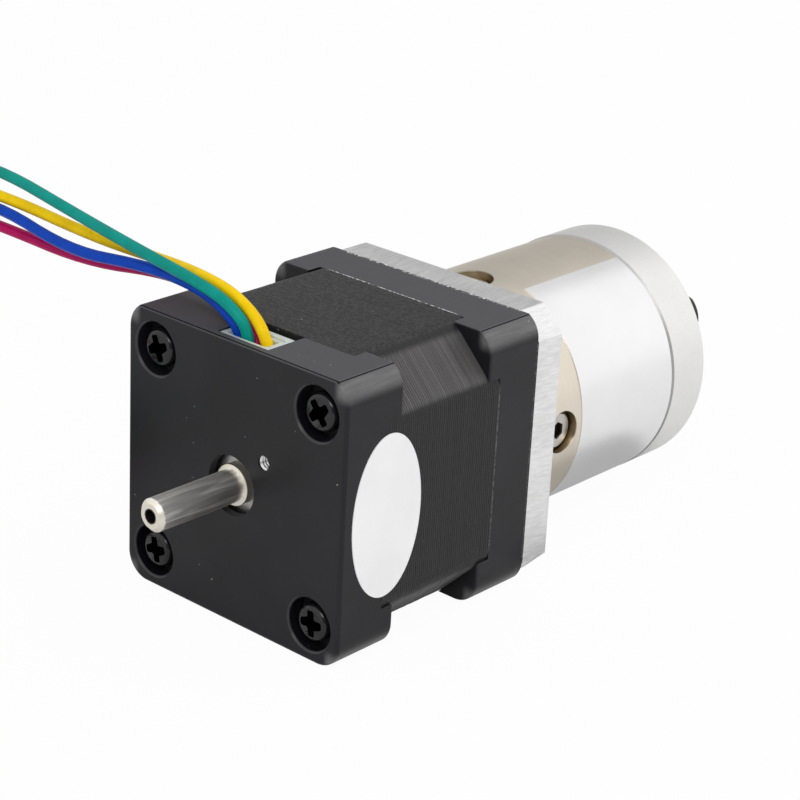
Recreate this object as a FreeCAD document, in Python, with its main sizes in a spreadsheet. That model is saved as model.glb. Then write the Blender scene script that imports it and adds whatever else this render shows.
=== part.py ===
"""A small geared stepper motor: a square hybrid motor with a two-stage planetary gearbox.

The shaft axis is Y, with the output shaft towards +Y and the lead exit up, towards +Z.
Every piece is drawn at its station along the axis, counted from the tip of the rear shaft,
and its placement then moves the middle of the gearbox's mounting face to the origin.
"""
import FreeCAD, Part
import math
import os
import re
import Sketcher

Vector = FreeCAD.Vector
doc = FreeCAD.newDocument("GearedStepper")
sheet = doc.addObject("Spreadsheet::Sheet", "Sizes")

# Driving dimensions in millimetres, or counts where the name says so
SIZES = [
    ("frame_side", 35.2),
    ("bolt_spacing", 26.0),
    ("cap_corner", 3.3),
    ("rear_cap_edge", 0.5),
    ("front_cap_edge", 0.2),
    ("ear_edge", 0.25),
    ("cap_top_cut", 0.45),
    ("stack_chamfer", 5.9),
    ("stack_corner_reach", 1.2),
    ("rear_cap_length", 7.15),
    ("stack_length", 19.0),
    ("front_cap_length", 6.85),
    ("ear_reach", 2.0),
    ("cavity_radius", 15.6),
    ("cavity_depth", 4.5),
    ("rear_shaft_reach", 12.5),
    ("rear_shaft_radius", 2.0),
    ("shaft_radius", 2.5),
    ("core_radius", 3.2),
    ("shaft_chamfer", 0.5),
    ("shoulder_taper", 0.15),
    ("centre_hole_radius", 0.8),
    ("centre_hole_depth", 1.6),
    ("rear_bore_radius", 3.7),
    ("rear_lip", 1.0),
    ("preload_gap", 0.5),
    ("pilot_radius", 11.0),
    ("pilot_height", 1.8),
    ("front_lip", 0.8),
    ("front_lip_radius", 4.2),
    ("boss_radius", 7.4),
    ("encoder_hole_x", 5.13),
    ("encoder_hole_z", 4.49),
    ("encoder_hole_radius", 0.9),
    ("encoder_hole_depth", 3.0),
    ("screw_pocket_radius", 3.25),
    ("screw_pocket_depth", 2.4),
    ("screw_pocket_chamfer", 0.25),
    ("motor_screw_radius", 1.25),
    ("motor_screw_head_radius", 2.35),
    ("motor_screw_head_height", 2.05),
    ("motor_screw_hole_radius", 1.4),
    ("cross_slot_length", 2.8),
    ("cross_slot_width", 0.75),
    ("cross_slot_depth", 1.1),
    ("screw_head_edge", 0.35),
    ("screw_end_gap", 0.3),
    ("screw_clearance", 0.1),
    ("mount_screw_radius", 1.5),
    ("mount_thread_depth", 3.2),
    ("grommet_width", 8.2),
    ("grommet_length", 4.8),
    ("grommet_height", 2.0),
    ("grommet_drop", 0.2),
    ("grommet_setback", 1.25),
    ("grommet_corner", 0.6),
    ("grommet_wall", 0.8),
    ("grommet_slot_width", 6.6),
    ("grommet_slot_length", 3.2),
    ("grommet_dish", 0.35),
    ("grommet_floor", 0.4),
    ("lead_slot_left", 3.0),
    ("lead_slot_right", 2.5),
    ("fit_gap", 0.02),
    ("end_gap", 0.1),
    ("cut_past", 1.0),
    ("bearing_width", 5.0),
    ("bearing_inner", 2.5),
    ("bearing_outer", 5.5),
    ("bearing_ball", 0.9),
    ("bearing_land", 0.62),
    ("bearing_balls", 7),
    ("output_bearing_width", 4.0),
    ("output_bearing_inner", 4.0),
    ("output_bearing_outer", 8.0),
    ("output_bearing_ball", 1.15),
    ("output_bearing_land", 0.75),
    ("output_bearing_balls", 9),
    ("bearing_spacer", 1.0),
    ("spacer_wall", 1.2),
    ("race_gap", 0.06),
    ("shield_thickness", 0.25),
    ("cage_wall", 0.35),
    ("cage_rail", 0.3),
    ("preload_wall", 1.1),
    ("preload_sheet", 0.2),
    ("preload_waves", 3),
    ("stator_bore", 9.3),
    ("stator_tooth_depth", 0.6),
    ("pole_count", 8),
    ("pole_teeth", 6),
    ("pole_neck", 2.6),
    ("pole_back", 10.85),
    ("slot_radius", 14.6),
    ("rotor_radius", 9.2),
    ("rotor_tooth_depth", 0.7),
    ("rotor_teeth", 50),
    ("magnet_length", 2.0),
    ("magnet_radius", 8.0),
    ("insulator_web", 0.6),
    ("insulator_height", 2.9),
    ("coil_inner", 10.95),
    ("coil_outer", 13.9),
    ("coil_width", 8.2),
    ("coil_overhang", 2.2),
    ("coil_corner", 1.2),
    ("plate_thickness", 4.4),
    ("plate_chamfer", 3.1),
    ("plate_bore", 6.0),
    ("plate_screw_head", 2.75),
    ("plate_screw_sink", 1.65),
    ("spigot_radius", 13.0),
    ("spigot_length", 6.5),
    ("gearbox_length", 33.8),
    ("flange_length", 7.3),
    ("flange_spigot", 3.0),
    ("tube_radius", 16.0),
    ("flange_radius", 16.15),
    ("flange_edge", 0.4),
    ("boss_height", 2.0),
    ("output_boss_radius", 10.0),
    ("output_lip_radius", 6.5),
    ("output_lip", 2.3),
    ("face_hole_circle", 26.0),
    ("face_hole_radius", 1.25),
    ("face_hole_depth", 5.0),
    ("pocket_station", 3.9),
    ("pocket_radius", 2.75),
    ("pocket_floor", 13.8),
    ("lock_screw_head_radius", 2.5),
    ("lock_screw_head_height", 1.3),
    ("lock_screw_end", 8.6),
    ("socket_width", 2.0),
    ("socket_depth", 0.9),
    ("gear_module", 0.5),
    ("ring_teeth", 46),
    ("first_sun_teeth", 17),
    ("first_planet_teeth", 14),
    ("second_sun_teeth", 11),
    ("second_planet_teeth", 17),
    ("planet_count", 3),
    ("gear_width", 5.0),
    ("tooth_thinning", 0.05),
    ("sun_shift", 0.5),
    ("pin_radius", 1.25),
    ("pin_clearance", 0.05),
    ("washer_thickness", 0.4),
    ("carrier_radius", 10.6),
    ("first_carrier_width", 2.0),
    ("second_carrier_width", 2.5),
    ("carrier_hub_radius", 5.0),
    ("stage_gap", 0.3),
    ("sun_shank_radius", 2.2),
    ("output_radius", 4.0),
    ("output_reach", 16.2),
    ("output_flat", 3.0),
    ("output_flat_length", 7.5),
    ("clip_thickness", 0.8),
    ("clip_radius", 5.2),
    ("clip_groove", 0.3),
    ("clip_opening", 1.2),
    ("label_thickness", 0.1),
    ("tube_label_start", 7.6),
    ("tube_label_from", 20.3),
    ("tube_label_to", 200.0),
    ("oval_length", 11.4),
    ("oval_height", 20.2),
    ("oval_station", 7.25),
    ("oval_level", 0.0),
    ("lead_diameter", 1.4),
    ("hank_radius", 9.0),
    ("hank_width", 6.6),
    ("hank_height", 6.0),
    ("hank_x", -48.0),
    ("hank_station", -20.0),
    ("tie_width", 2.4),
    ("tie_thickness", 0.8),
    ("tie_slack", 0.15),
    ("tip_radius", 0.3),
    ("tip_length", 4.0),
    ("tip_first_angle", 280),
    ("tip_angle_step", 20),
    ("tip_lean", 135),
]
for row, (alias, number) in enumerate(SIZES, start=1):
    sheet.set(f"A{row}", alias)
    sheet.set(f"B{row}", str(number))
    sheet.setAlias(f"B{row}", alias)
doc.recompute()
ALIASES = {alias for alias, number in SIZES}

# Stations along the axis, from the tip of the rear shaft
REAR_FACE = "rear_shaft_reach"
STACK_BACK = f"({REAR_FACE} + rear_cap_length)"
STACK_FRONT = f"({STACK_BACK} + stack_length)"
PLATE_BACK = f"({STACK_FRONT} + front_cap_length)"
PLATE_FRONT = f"({PLATE_BACK} + plate_thickness)"
FACE = f"({PLATE_FRONT} + gearbox_length)"
FLANGE_BACK = f"({FACE} - flange_length)"
TIP = f"({FACE} + output_reach)"
REAR_BEARING = f"({REAR_FACE} + rear_lip + preload_gap)"
FRONT_BEARING = f"({PLATE_BACK} + pilot_height - front_lip - bearing_width)"
SPIGOT_END = f"({PLATE_FRONT} + spigot_length)"
FIRST_GEARS = f"({SPIGOT_END} + washer_thickness + stage_gap / 2)"
FIRST_CARRIER = f"({FIRST_GEARS} + gear_width + stage_gap)"
SECOND_GEARS = f"({FIRST_CARRIER} + first_carrier_width + 2 * stage_gap)"
SECOND_CARRIER = f"({SECOND_GEARS} + gear_width + stage_gap)"
FLANGE_INSIDE = f"({FLANGE_BACK} - flange_spigot)"
OUTER_BEARING = f"({FACE} + boss_height - output_lip - output_bearing_width - fit_gap)"
INNER_BEARING = f"({OUTER_BEARING} - bearing_spacer - output_bearing_width)"

PRESSURE_ANGLE = math.radians(20)
DEDENDUM = 1.25
TINY = 1e-6
SEAT = "fit_gap"
QUARTERS = (0, 90, 180, 270)

# Half widths of the magnetic teeth, as shares of their pitch
STATOR_TOOTH = 0.21
ROTOR_TOOTH_TIP = 0.2
ROTOR_TOOTH_ROOT = 0.24

# Degrees between the points that a wavy rim runs through
WAVE_STEP = 10


def bind(text):
    """An expression with its size names pointed at the sheet."""
    return re.sub(r"[a-z_]+", lambda word: f"Sizes.{word[0]}" if word[0] in ALIASES else word[0], text)


def value(text):
    """The number that an expression of size names gives now."""
    return float(sheet.evalExpression(bind(text)))


def place(thing, x="0", y="0", z="0", turn=None):
    """Bind where a thing stands, after turning it by (axis, degrees)."""
    if turn:
        thing.Placement = FreeCAD.Placement(Vector(), FreeCAD.Rotation(Vector(*turn[0]), turn[1]))
    for axis, text in zip("xyz", (x, y, z)):
        thing.setExpression(f"Placement.Base.{axis}", bind(text))
    return thing


def rod(name, start, end, radius, x="0", z="0"):
    """A cylinder along the shaft axis between two stations."""
    made = doc.addObject("Part::Cylinder", name)
    made.setExpression("Radius", bind(radius))
    made.setExpression("Height", bind(f"{end} - ({start})"))
    return place(made, x, start, z, ((1, 0, 0), -90))


def spoke(name, start, end, radius, station, clock):
    """A cylinder that stands out from the axis, between two radii, at a clock angle in degrees."""
    made = doc.addObject("Part::Cylinder", name)
    made.setExpression("Radius", bind(radius))
    made.setExpression("Height", bind(f"{end} - ({start})"))
    across, rise = f"({start}) * sin({clock} * 1 deg)", f"({start}) * cos({clock} * 1 deg)"
    return place(made, across, station, rise, ((0, 1, 0), clock))


def funnel(name, start, end, first, last, x="0", z="0"):
    """A cone along the shaft axis from one radius to another."""
    made = doc.addObject("Part::Cone", name)
    made.setExpression("Radius1", bind(first))
    made.setExpression("Radius2", bind(last))
    made.setExpression("Height", bind(f"{end} - ({start})"))
    return place(made, x, start, z, ((1, 0, 0), -90))


def block(name, corner, size):
    """A box from its lowest corner and its three sides."""
    made = doc.addObject("Part::Box", name)
    for side, text in zip(("Length", "Width", "Height"), size):
        made.setExpression(side, bind(text))
    return place(made, *corner)


def square(name, start, end, chamfer):
    """A slice of the motor's square section with its four corners cut at 45 degrees."""
    plain = block(f"{name}_square", ("-frame_side / 2", start, "-frame_side / 2"),
                  ("frame_side", f"{end} - ({start})", "frame_side"))
    turned_side = f"((frame_side - {chamfer}) * sqrt(2))"
    diamond = doc.addObject("Part::Box", f"{name}_diamond")
    diamond.setExpression("Length", bind(turned_side))
    diamond.setExpression("Width", bind(f"{end} - ({start})"))
    diamond.setExpression("Height", bind(turned_side))
    place(diamond, f"-{turned_side} / sqrt(2)", start, "0", ((0, 1, 0), 45))
    both = doc.addObject("Part::MultiCommon", name)
    both.Shapes = [plain, diamond]
    return both


def rounded(name, base, radius, wanted):
    """A piece with those of its edges rounded that a test picks out."""
    doc.recompute()
    reach = value(radius)
    numbers = [number for number, edge in enumerate(base.Shape.Edges, start=1) if wanted(edge)]
    made = doc.addObject("Part::Fillet", name)
    made.Base = base
    made.Edges = [(number, reach, reach) for number in numbers]
    return made


def runs_along(axis):
    """A test for straight edges along one axis."""
    return lambda edge: abs(edge.tangentAt(edge.FirstParameter).dot(Vector(*axis))) > 1 - TINY


def lies_at(station):
    """A test for edges that lie across the shaft axis at one station."""
    return lambda edge: all(abs(corner.Y - value(station)) < TINY for corner in edge.Vertexes)


def fuse(name, *things):
    made = doc.addObject("Part::MultiFuse", name)
    made.Shapes = list(things)
    return made


def cut(name, base, *tools):
    made = doc.addObject("Part::Cut", name)
    made.Base = base
    made.Tool = tools[0] if len(tools) == 1 else fuse(f"{name}_tools", *tools)
    return made


def tube(name, start, end, inner, outer):
    return cut(name, rod(f"{name}_out", start, end, outer), rod(f"{name}_in", start, end, inner))


def turned(name, outline):
    """A turned piece: a sketch of (station, radius) corners, revolved about the shaft axis."""
    body = doc.addObject("PartDesign::Body", name)
    sketch = body.newObject("Sketcher::SketchObject", f"{name}_outline")
    plane = [item for item in body.Origin.OriginFeatures if item.Role == "XY_Plane"][0]
    sketch.AttachmentSupport = [(plane, "")]
    sketch.MapMode = "FlatFace"
    corners = [Vector(value(radius), value(station), 0) for station, radius in outline]
    for first, second in zip(corners, corners[1:] + corners[:1]):
        sketch.addGeometry(Part.LineSegment(first, second))
    count = len(outline)
    for number in range(count):
        sketch.addConstraint(Sketcher.Constraint("Coincident", number, 2, (number + 1) % count, 1))
    for number, pair in enumerate(outline):
        for kind, axis, text in (("DistanceY", -1, pair[0]), ("DistanceX", -2, pair[1])):
            if text == "0":
                sketch.addConstraint(Sketcher.Constraint("PointOnObject", number, 1, axis))
                continue
            index = sketch.addConstraint(Sketcher.Constraint(kind, -1, 1, number, 1, value(text)))
            sketch.setExpression(f"Constraints[{index}]", bind(text))
    revolved = body.newObject("PartDesign::Revolution", f"{name}_turned")
    revolved.Profile = sketch
    revolved.ReferenceAxis = (sketch, ["V_Axis"])
    revolved.Angle = 360
    body.Tip = revolved
    return body


def formed(name, shape):
    """A piece whose outline comes from a formula."""
    made = doc.addObject("Part::Feature", name)
    made.Shape = shape
    return made


def corners_of_square(spacing="bolt_spacing"):
    half = f"{spacing} / 2"
    return [(f"{a}{half}", f"{b}{half}") for a in ("", "-") for b in ("", "-")]


def polar(radius, angle, station=0.0):
    """A point about the shaft axis; the angle runs from +Z towards +X, as a turn about +Y does."""
    return Vector(radius * math.sin(angle), station, radius * math.cos(angle))


def corner_arc(before, here, after, reach):
    """The arc that rounds a corner: its start, middle and end, and its radius."""
    back, ahead = (before - here).normalize(), (after - here).normalize()
    half_turn = (math.pi - back.getAngle(ahead)) / 2
    radius = reach / math.tan(half_turn)
    middle = here + (back + ahead).normalize() * (radius / math.cos(half_turn) - radius)
    return here + back * reach, middle, here + ahead * reach, radius


def softened(corners, reach):
    """The items of a closed loop whose corners are all rounded."""
    items = []
    for before, here, after in zip(corners[-1:] + corners[:-1], corners, corners[1:] + corners[:1]):
        start, middle, end, radius = corner_arc(before, here, after, reach)
        items += [start, (middle, end)]
    return items


def loop(points):
    """A closed wire of straight edges and, where an item is a pair, arcs through its first point."""
    edges = []
    for here, there in zip(points, points[1:] + points[:1]):
        start = here[1] if isinstance(here, tuple) else here
        if isinstance(there, tuple):
            edges.append(Part.Arc(start, there[0], there[1]).toShape())
        else:
            edges.append(Part.LineSegment(start, there).toShape())
    return Part.Wire(edges)


def prism(outer, holes, length):
    """A flat outline with holes, drawn out along the shaft axis."""
    return Part.makeFace([outer] + holes, "Part::FaceMakerBullseye").extrude(Vector(0, length, 0))


def ring_wire(radius, station):
    return Part.Wire(Part.Circle(Vector(0, station, 0), Vector(0, 1, 0), radius).toShape())


nodes = []


def node(label, thing):
    """Keep a piece as a sub-part of its own and move it into the part's frame."""
    thing.Label = label
    thing.setExpression("Placement.Base.y", bind(f"-{FACE}"))
    nodes.append(thing)
    return thing


def copies(label, pattern, moves):
    """One sub-part of several like solids: the pattern piece put at each placement."""
    doc.recompute()
    shapes = []
    for move in moves:
        shape = pattern.Shape.copy()
        shape.Placement = move.multiply(shape.Placement)
        shapes.append(shape)
    return node(label, formed(f"{label}_group", Part.makeCompound(shapes)))


# Involute gears

def involute(angle):
    return math.tan(angle) - angle


def toothed_wire(teeth, thickness, tip, root, phase, station):
    """A toothed outline with involute flanks, each an arc through three points of its involute."""
    pitch = value("gear_module") * teeth / 2
    base = pitch * math.cos(PRESSURE_ANGLE)
    start = max(root, base)

    def half_width(radius):
        slope = math.acos(min(1.0, base / radius))
        return thickness / 2 / pitch + involute(PRESSURE_ANGLE) - involute(slope)

    step = 2 * math.pi / teeth
    middle = (start + tip) / 2
    points = []
    for number in range(teeth):
        centre = phase + number * step
        before, after = centre - half_width(start), centre + half_width(start)
        rooted = centre - step + half_width(start)
        points.append((polar(root, (rooted + before) / 2, station), polar(root, before, station)))
        if root < start - TINY:
            points.append(polar(start, before, station))
        points.append((polar(middle, centre - half_width(middle), station),
                       polar(tip, centre - half_width(tip), station)))
        points.append((polar(tip, centre, station), polar(tip, centre + half_width(tip), station)))
        points.append((polar(middle, centre + half_width(middle), station), polar(start, after, station)))
        if root < start - TINY:
            points.append(polar(root, after, station))
    return loop(points)


def gear(name, teeth, shift, bore, start, end, phase):
    """A spur gear; its shift moves the teeth outwards by that part of the module."""
    module = value("gear_module")
    pitch = module * teeth / 2
    thickness = module * (math.pi / 2 + 2 * shift * math.tan(PRESSURE_ANGLE)) - value("tooth_thinning")
    tip, root = pitch + module * (1 + shift), pitch - module * (DEDENDUM - shift)
    outer = toothed_wire(teeth, thickness, tip, root, phase, value(start))
    holes = [ring_wire(value(bore), value(start))] if bore else []
    return formed(name, prism(outer, holes, value(end) - value(start)))


def planets(stage, planet_teeth, sun_teeth, start):
    """The planet gears of one stage, each turned to mesh with the fixed ring."""
    teeth, sun = int(value(planet_teeth)), int(value(sun_teeth))
    ring, count = value("ring_teeth"), int(value("planet_count"))
    distance = value("gear_module") * (ring - teeth) / 2
    for number in range(count):
        clock = 2 * math.pi * number / count
        phase = clock - clock * ring / teeth
        made = gear(f"{stage}_planet_{number + 1}", teeth, 0, "pin_radius + pin_clearance", start,
                    f"{start} + gear_width", phase)
        shape = made.Shape.copy()
        shape.translate(polar(distance, clock))
        made.Shape = shape
        node(f"{stage}_planet_{number + 1}", made)
    sun_phase = 0 if teeth % 2 else math.pi / sun
    return distance, sun_phase


def planet_pins(stage, distance, start, end):
    count = int(value("planet_count"))
    pin = rod(f"{stage}_pin", start, end, "pin_radius")
    turns = [2 * math.pi * number / count for number in range(count)]
    copies(f"{stage}_planet_pins", pin, [FreeCAD.Placement(polar(distance, turn), FreeCAD.Rotation())
                                         for turn in turns])
    return [(polar(distance, turn).x, polar(distance, turn).z) for turn in turns]


# Motor housing

def cap_screw_tools(name, start, end):
    return [rod(f"{name}_hole_{number}", start, end, "motor_screw_hole_radius", x, z)
            for number, (x, z) in enumerate(corners_of_square())]


def cap_shell(name, face, face_edge, ears):
    """An end cap's blank between its outer face and its ears' ends, rounded and then milled flat on top."""
    first, last = sorted((face, ears), key=value)
    plain = block(f"{name}_square", ("-frame_side / 2", first, "-frame_side / 2"),
                  ("frame_side", f"{last} - ({first})", "frame_side + cap_top_cut"))
    cornered = rounded(f"{name}_corners", plain, "cap_corner", runs_along((0, 1, 0)))
    faced = rounded(f"{name}_face", cornered, face_edge, lies_at(face))
    soft = rounded(f"{name}_ears", faced, "ear_edge", lies_at(ears))
    waste = block(f"{name}_top_waste", ("-frame_side / 2", first, "frame_side / 2"),
                  ("frame_side", f"{last} - ({first})", "cap_top_cut"))
    return cut(name, soft, waste)


def rear_end_cap():
    shell = cap_shell("rear_shell", REAR_FACE, "rear_cap_edge", f"({STACK_BACK} + ear_reach)")
    tools = [square("rear_stack_room", STACK_BACK, f"{STACK_BACK} + 2 * ear_reach", "stack_chamfer")]
    boss_end = f"({REAR_BEARING} + bearing_width - preload_gap)"
    tools.append(tube("rear_cavity", f"{STACK_BACK} - cavity_depth", boss_end, "boss_radius",
                      "cavity_radius"))
    tools.append(rod("rear_cavity_mouth", boss_end, STACK_BACK, "cavity_radius"))
    tools.append(rod("rear_seat", f"{REAR_FACE} + rear_lip", boss_end, f"bearing_outer + {SEAT}"))
    tools.append(rod("rear_bore", "0", f"{REAR_FACE} + rear_lip", "rear_bore_radius"))
    tools += cap_screw_tools("rear_screw", REAR_FACE, f"{STACK_BACK} + ear_reach")
    floor = f"({REAR_FACE} + screw_pocket_depth)"
    for number, (x, z) in enumerate(corners_of_square()):
        tools.append(rod(f"rear_pocket_{number}", REAR_FACE, floor, "screw_pocket_radius", x, z))
        tools.append(funnel(f"rear_rim_{number}", REAR_FACE, f"{REAR_FACE} + screw_pocket_chamfer",
                            "screw_pocket_radius + screw_pocket_chamfer", "screw_pocket_radius", x, z))
    for number, sign in enumerate(("", "-")):
        tools.append(rod(f"encoder_hole_{number}", REAR_FACE, f"{REAR_FACE} + encoder_hole_depth",
                         "encoder_hole_radius", f"{sign}encoder_hole_x", f"{sign}encoder_hole_z"))
    notch_floor = "(frame_side / 2 - grommet_height - fit_gap)"
    notch_start = f"({REAR_FACE} + grommet_setback)"
    tools.append(block("grommet_notch",
                       ("-grommet_width / 2 - fit_gap", f"{notch_start} - fit_gap", notch_floor),
                       ("grommet_width + 2 * fit_gap", "rear_cap_length - grommet_setback + fit_gap",
                        "frame_side / 2")))
    channel_floor = "cavity_radius - grommet_height"
    tools.append(block("lead_channel",
                       ("-grommet_slot_width / 2", f"{notch_start} + grommet_wall", channel_floor),
                       ("grommet_slot_width", "grommet_slot_length", "frame_side / 2 - cavity_radius")))
    node("rear_end_cap", cut("rear_end_cap_body", shell, *tools))


def front_end_cap():
    shell = cap_shell("front_shell", PLATE_BACK, "front_cap_edge", f"({STACK_FRONT} - ear_reach)")
    pilot = rod("front_pilot", PLATE_BACK, f"{PLATE_BACK} + pilot_height", "pilot_radius")
    whole = fuse("front_blank", shell, pilot)
    boss_start = f"({FRONT_BEARING} - preload_gap / 2)"
    seat_end = f"({PLATE_BACK} + pilot_height - front_lip)"
    tools = [square("front_stack_room", f"{STACK_FRONT} - 2 * ear_reach", STACK_FRONT, "stack_chamfer")]
    tools.append(tube("front_cavity", boss_start, f"{STACK_FRONT} + cavity_depth", "boss_radius",
                      "cavity_radius"))
    tools.append(rod("front_cavity_mouth", STACK_FRONT, boss_start, "cavity_radius"))
    tools.append(rod("front_seat", boss_start, seat_end, f"bearing_outer + {SEAT}"))
    tools.append(rod("front_bore", seat_end, f"{PLATE_BACK} + pilot_height", "front_lip_radius"))
    thread = f"({PLATE_BACK} - mount_thread_depth)"
    for number, (x, z) in enumerate(corners_of_square()):
        tools.append(rod(f"front_screw_hole_{number}", f"{STACK_FRONT} - ear_reach", thread,
                         f"motor_screw_radius + {SEAT}", x, z))
        tools.append(rod(f"mount_thread_{number}", thread, PLATE_BACK, f"mount_screw_radius + {SEAT}", x, z))
    node("front_end_cap", cut("front_end_cap_body", whole, *tools))


def stator_stack():
    """The laminated stator: a chamfered square with eight toothed poles inside."""
    station, poles = value(STACK_BACK), int(value("pole_count"))
    half, chamfer = value("frame_side") / 2, value("stack_chamfer")
    near = half - chamfer
    rim = [(near, half), (half, near), (half, -near), (near, -half),
           (-near, -half), (-half, -near), (-half, near), (-near, half)]
    outer = loop(softened([Vector(x, station, z) for x, z in rim], value("stack_corner_reach")))
    pitch, teeth = 2 * math.pi / value("rotor_teeth"), int(value("pole_teeth"))
    bore, root = value("stator_bore"), value("stator_bore") + value("stator_tooth_depth")
    tooth = STATOR_TOOTH * pitch
    shoe = (teeth - 1) / 2 * pitch + tooth
    neck, slot, back = value("pole_neck") / 2, value("slot_radius"), value("pole_back")
    neck_out, neck_in = math.asin(neck / slot), math.asin(neck / back)
    points = []
    for number in range(poles):
        centre = number * 2 * math.pi / poles
        slot_middle = centre - math.pi / poles
        points.append((polar(slot, slot_middle, station), polar(slot, centre - neck_out, station)))
        points.append(polar(back, centre - neck_in, station))
        points.append(polar(root + value("stator_tooth_depth"), centre - shoe, station))
        for step in range(teeth):
            middle = centre + (step - (teeth - 1) / 2) * pitch
            points.append(polar(bore, middle - tooth, station))
            points.append(polar(bore, middle + tooth, station))
            if step < teeth - 1:
                points.append(polar(root, middle + tooth, station))
                points.append(polar(root, middle + pitch - tooth, station))
        points.append(polar(root + value("stator_tooth_depth"), centre + shoe, station))
        points.append(polar(back, centre + neck_in, station))
        points.append(polar(slot, centre + neck_out, station))
    holes = [loop(points)]
    for x, z in corners_of_square():
        centre = Vector(value(x), station, value(z))
        circle = Part.Circle(centre, Vector(0, 1, 0), value("motor_screw_hole_radius"))
        holes.append(Part.Wire(circle.toShape()))
    node("stator_stack", formed("stator_stack_body", prism(outer, holes, value("stack_length"))))


def pole_turn(shape, number):
    shape.rotate(Vector(), Vector(0, 1, 0), 360 * number / value("pole_count"))
    return shape


def insulator(label, face, direction):
    """A moulded end insulator: a web on every pole, a lip at its tip and a wall round the outside.

    The rear one's wall has a notch for the leads.
    """
    web, height, poles = value("insulator_web"), value("insulator_height"), int(value("pole_count"))
    inner_wall, outer_wall = value("slot_radius - 3 * fit_gap"), value("cavity_radius - 2 * end_gap")
    station = value(face) if direction > 0 else value(face) - height
    wall = Part.makeCylinder(outer_wall, height, Vector(0, station, 0), Vector(0, 1, 0))
    wall = wall.cut(Part.makeCylinder(inner_wall, height, Vector(0, station, 0), Vector(0, 1, 0)))
    if direction < 0:
        notch_end = value(f"{REAR_FACE} + grommet_setback + grommet_wall + grommet_slot_length + fit_gap")
        gap = value("grommet_slot_width")
        wall = wall.cut(Part.makeBox(gap, notch_end - station, outer_wall, Vector(-gap / 2, station, 0)))
    pieces = []
    low = value("stator_bore") + value("stator_tooth_depth")
    web_start = value(face) if direction > 0 else value(face) - web
    width = value("pole_neck") + web
    for number in range(poles):
        arm = Part.makeBox(width, web, inner_wall + web / 2 - low, Vector(-width / 2, web_start, low))
        lip = Part.makeBox(2 * width, height, web, Vector(-width, station, low))
        pieces += [pole_turn(arm, number), pole_turn(lip, number)]
    node(label, formed(f"{label}_body", wall.multiFuse(pieces).removeSplitter()))


def phase_coils(label, first):
    """The coils of one phase, on every second pole: a wound block with an opening for the pole."""
    coils = []
    width, web, overhang = value("coil_width"), value("insulator_web"), value("coil_overhang")
    opening = value("pole_neck + insulator_web + 6 * fit_gap")
    low, tall = value("coil_inner"), value("coil_outer") - value("coil_inner")
    back, length = value(STACK_BACK) - web, value("stack_length") + 2 * web
    for number in range(first, int(value("pole_count")), 2):
        wound = Part.makeBox(width, length + 2 * overhang, tall, Vector(-width / 2, back - overhang, low))
        upright = [edge for edge in wound.Edges if abs(edge.tangentAt(edge.FirstParameter).z) > 0.9]
        wound = wound.makeFillet(value("coil_corner"), upright)
        window = Part.makeBox(opening, length, tall, Vector(-opening / 2, back, low))
        coils.append(pole_turn(wound.cut(window), number))
    node(label, formed(f"{label}_body", Part.makeCompound(coils)))


def motor_screws():
    under = f"({REAR_FACE} + screw_pocket_depth)"
    top = f"({under} - motor_screw_head_height)"
    end = f"({PLATE_BACK} - mount_thread_depth - screw_end_gap)"
    blank = turned("motor_screw_blank", [
        (top, "0"), (top, "motor_screw_head_radius - screw_head_edge"),
        (f"{top} + screw_head_edge", "motor_screw_head_radius"),
        (under, "motor_screw_head_radius"), (under, "motor_screw_radius"),
        (end, "motor_screw_radius"), (end, "0")])
    sides = ("cross_slot_length", "cross_slot_width")
    bars = [block(f"motor_screw_slot_{number}", (f"-{wide} / 2", top, f"-{tall} / 2"),
                  (wide, "cross_slot_depth", tall))
            for number, (wide, tall) in enumerate((sides, sides[::-1]))]
    screw = cut("motor_screw", blank, *bars)
    copies("motor_screws", screw, [FreeCAD.Placement(Vector(value(x), 0, value(z)), FreeCAD.Rotation())
                                   for x, z in corners_of_square()])


def lead_grommet():
    """A moulded dish with a floor, and in the floor a slot that the leads come through."""
    low, tall = "(frame_side / 2 - grommet_height)", "(grommet_height - grommet_drop)"
    start = f"({REAR_FACE} + grommet_setback)"
    plain = block("grommet_block", ("-grommet_width / 2", start, low),
                  ("grommet_width", "grommet_length", tall))
    frame = rounded("grommet_frame", plain, "grommet_corner", runs_along((0, 0, 1)))
    wall, half = f"({start} + grommet_wall)", "-grommet_slot_width / 2"
    dish = block("grommet_dish_room", (half, wall, f"{low} + {tall} - grommet_dish"),
                 ("grommet_slot_width", "grommet_slot_length", "grommet_dish"))
    under = block("grommet_under_room", (half, wall, low),
                  ("grommet_slot_width", "grommet_slot_length", f"{tall} - grommet_dish - grommet_floor"))
    slot = block("grommet_slot", ("-lead_slot_left", wall, low),
                 ("lead_slot_left + lead_slot_right", "grommet_slot_length", tall))
    node("lead_grommet", cut("lead_grommet_body", frame, dish, under, slot))


def oval_label():
    oval = Part.Ellipse(Vector(0, 0, 0), value("oval_height") / 2, value("oval_length") / 2)
    face = Part.Face(Part.Wire(oval.toShape()))
    turn = FreeCAD.Rotation(Vector(0, 0, 1), Vector(0, 1, 0), Vector(1, 0, 0), "ZXY")
    face.Placement = FreeCAD.Placement(Vector(value("frame_side / 2"), value(f"{REAR_FACE} + oval_station"),
                                              value("oval_level")), turn)
    node("oval_label", formed("oval_label_body", face.extrude(Vector(value("label_thickness"), 0, 0))))


# Rotor

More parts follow.
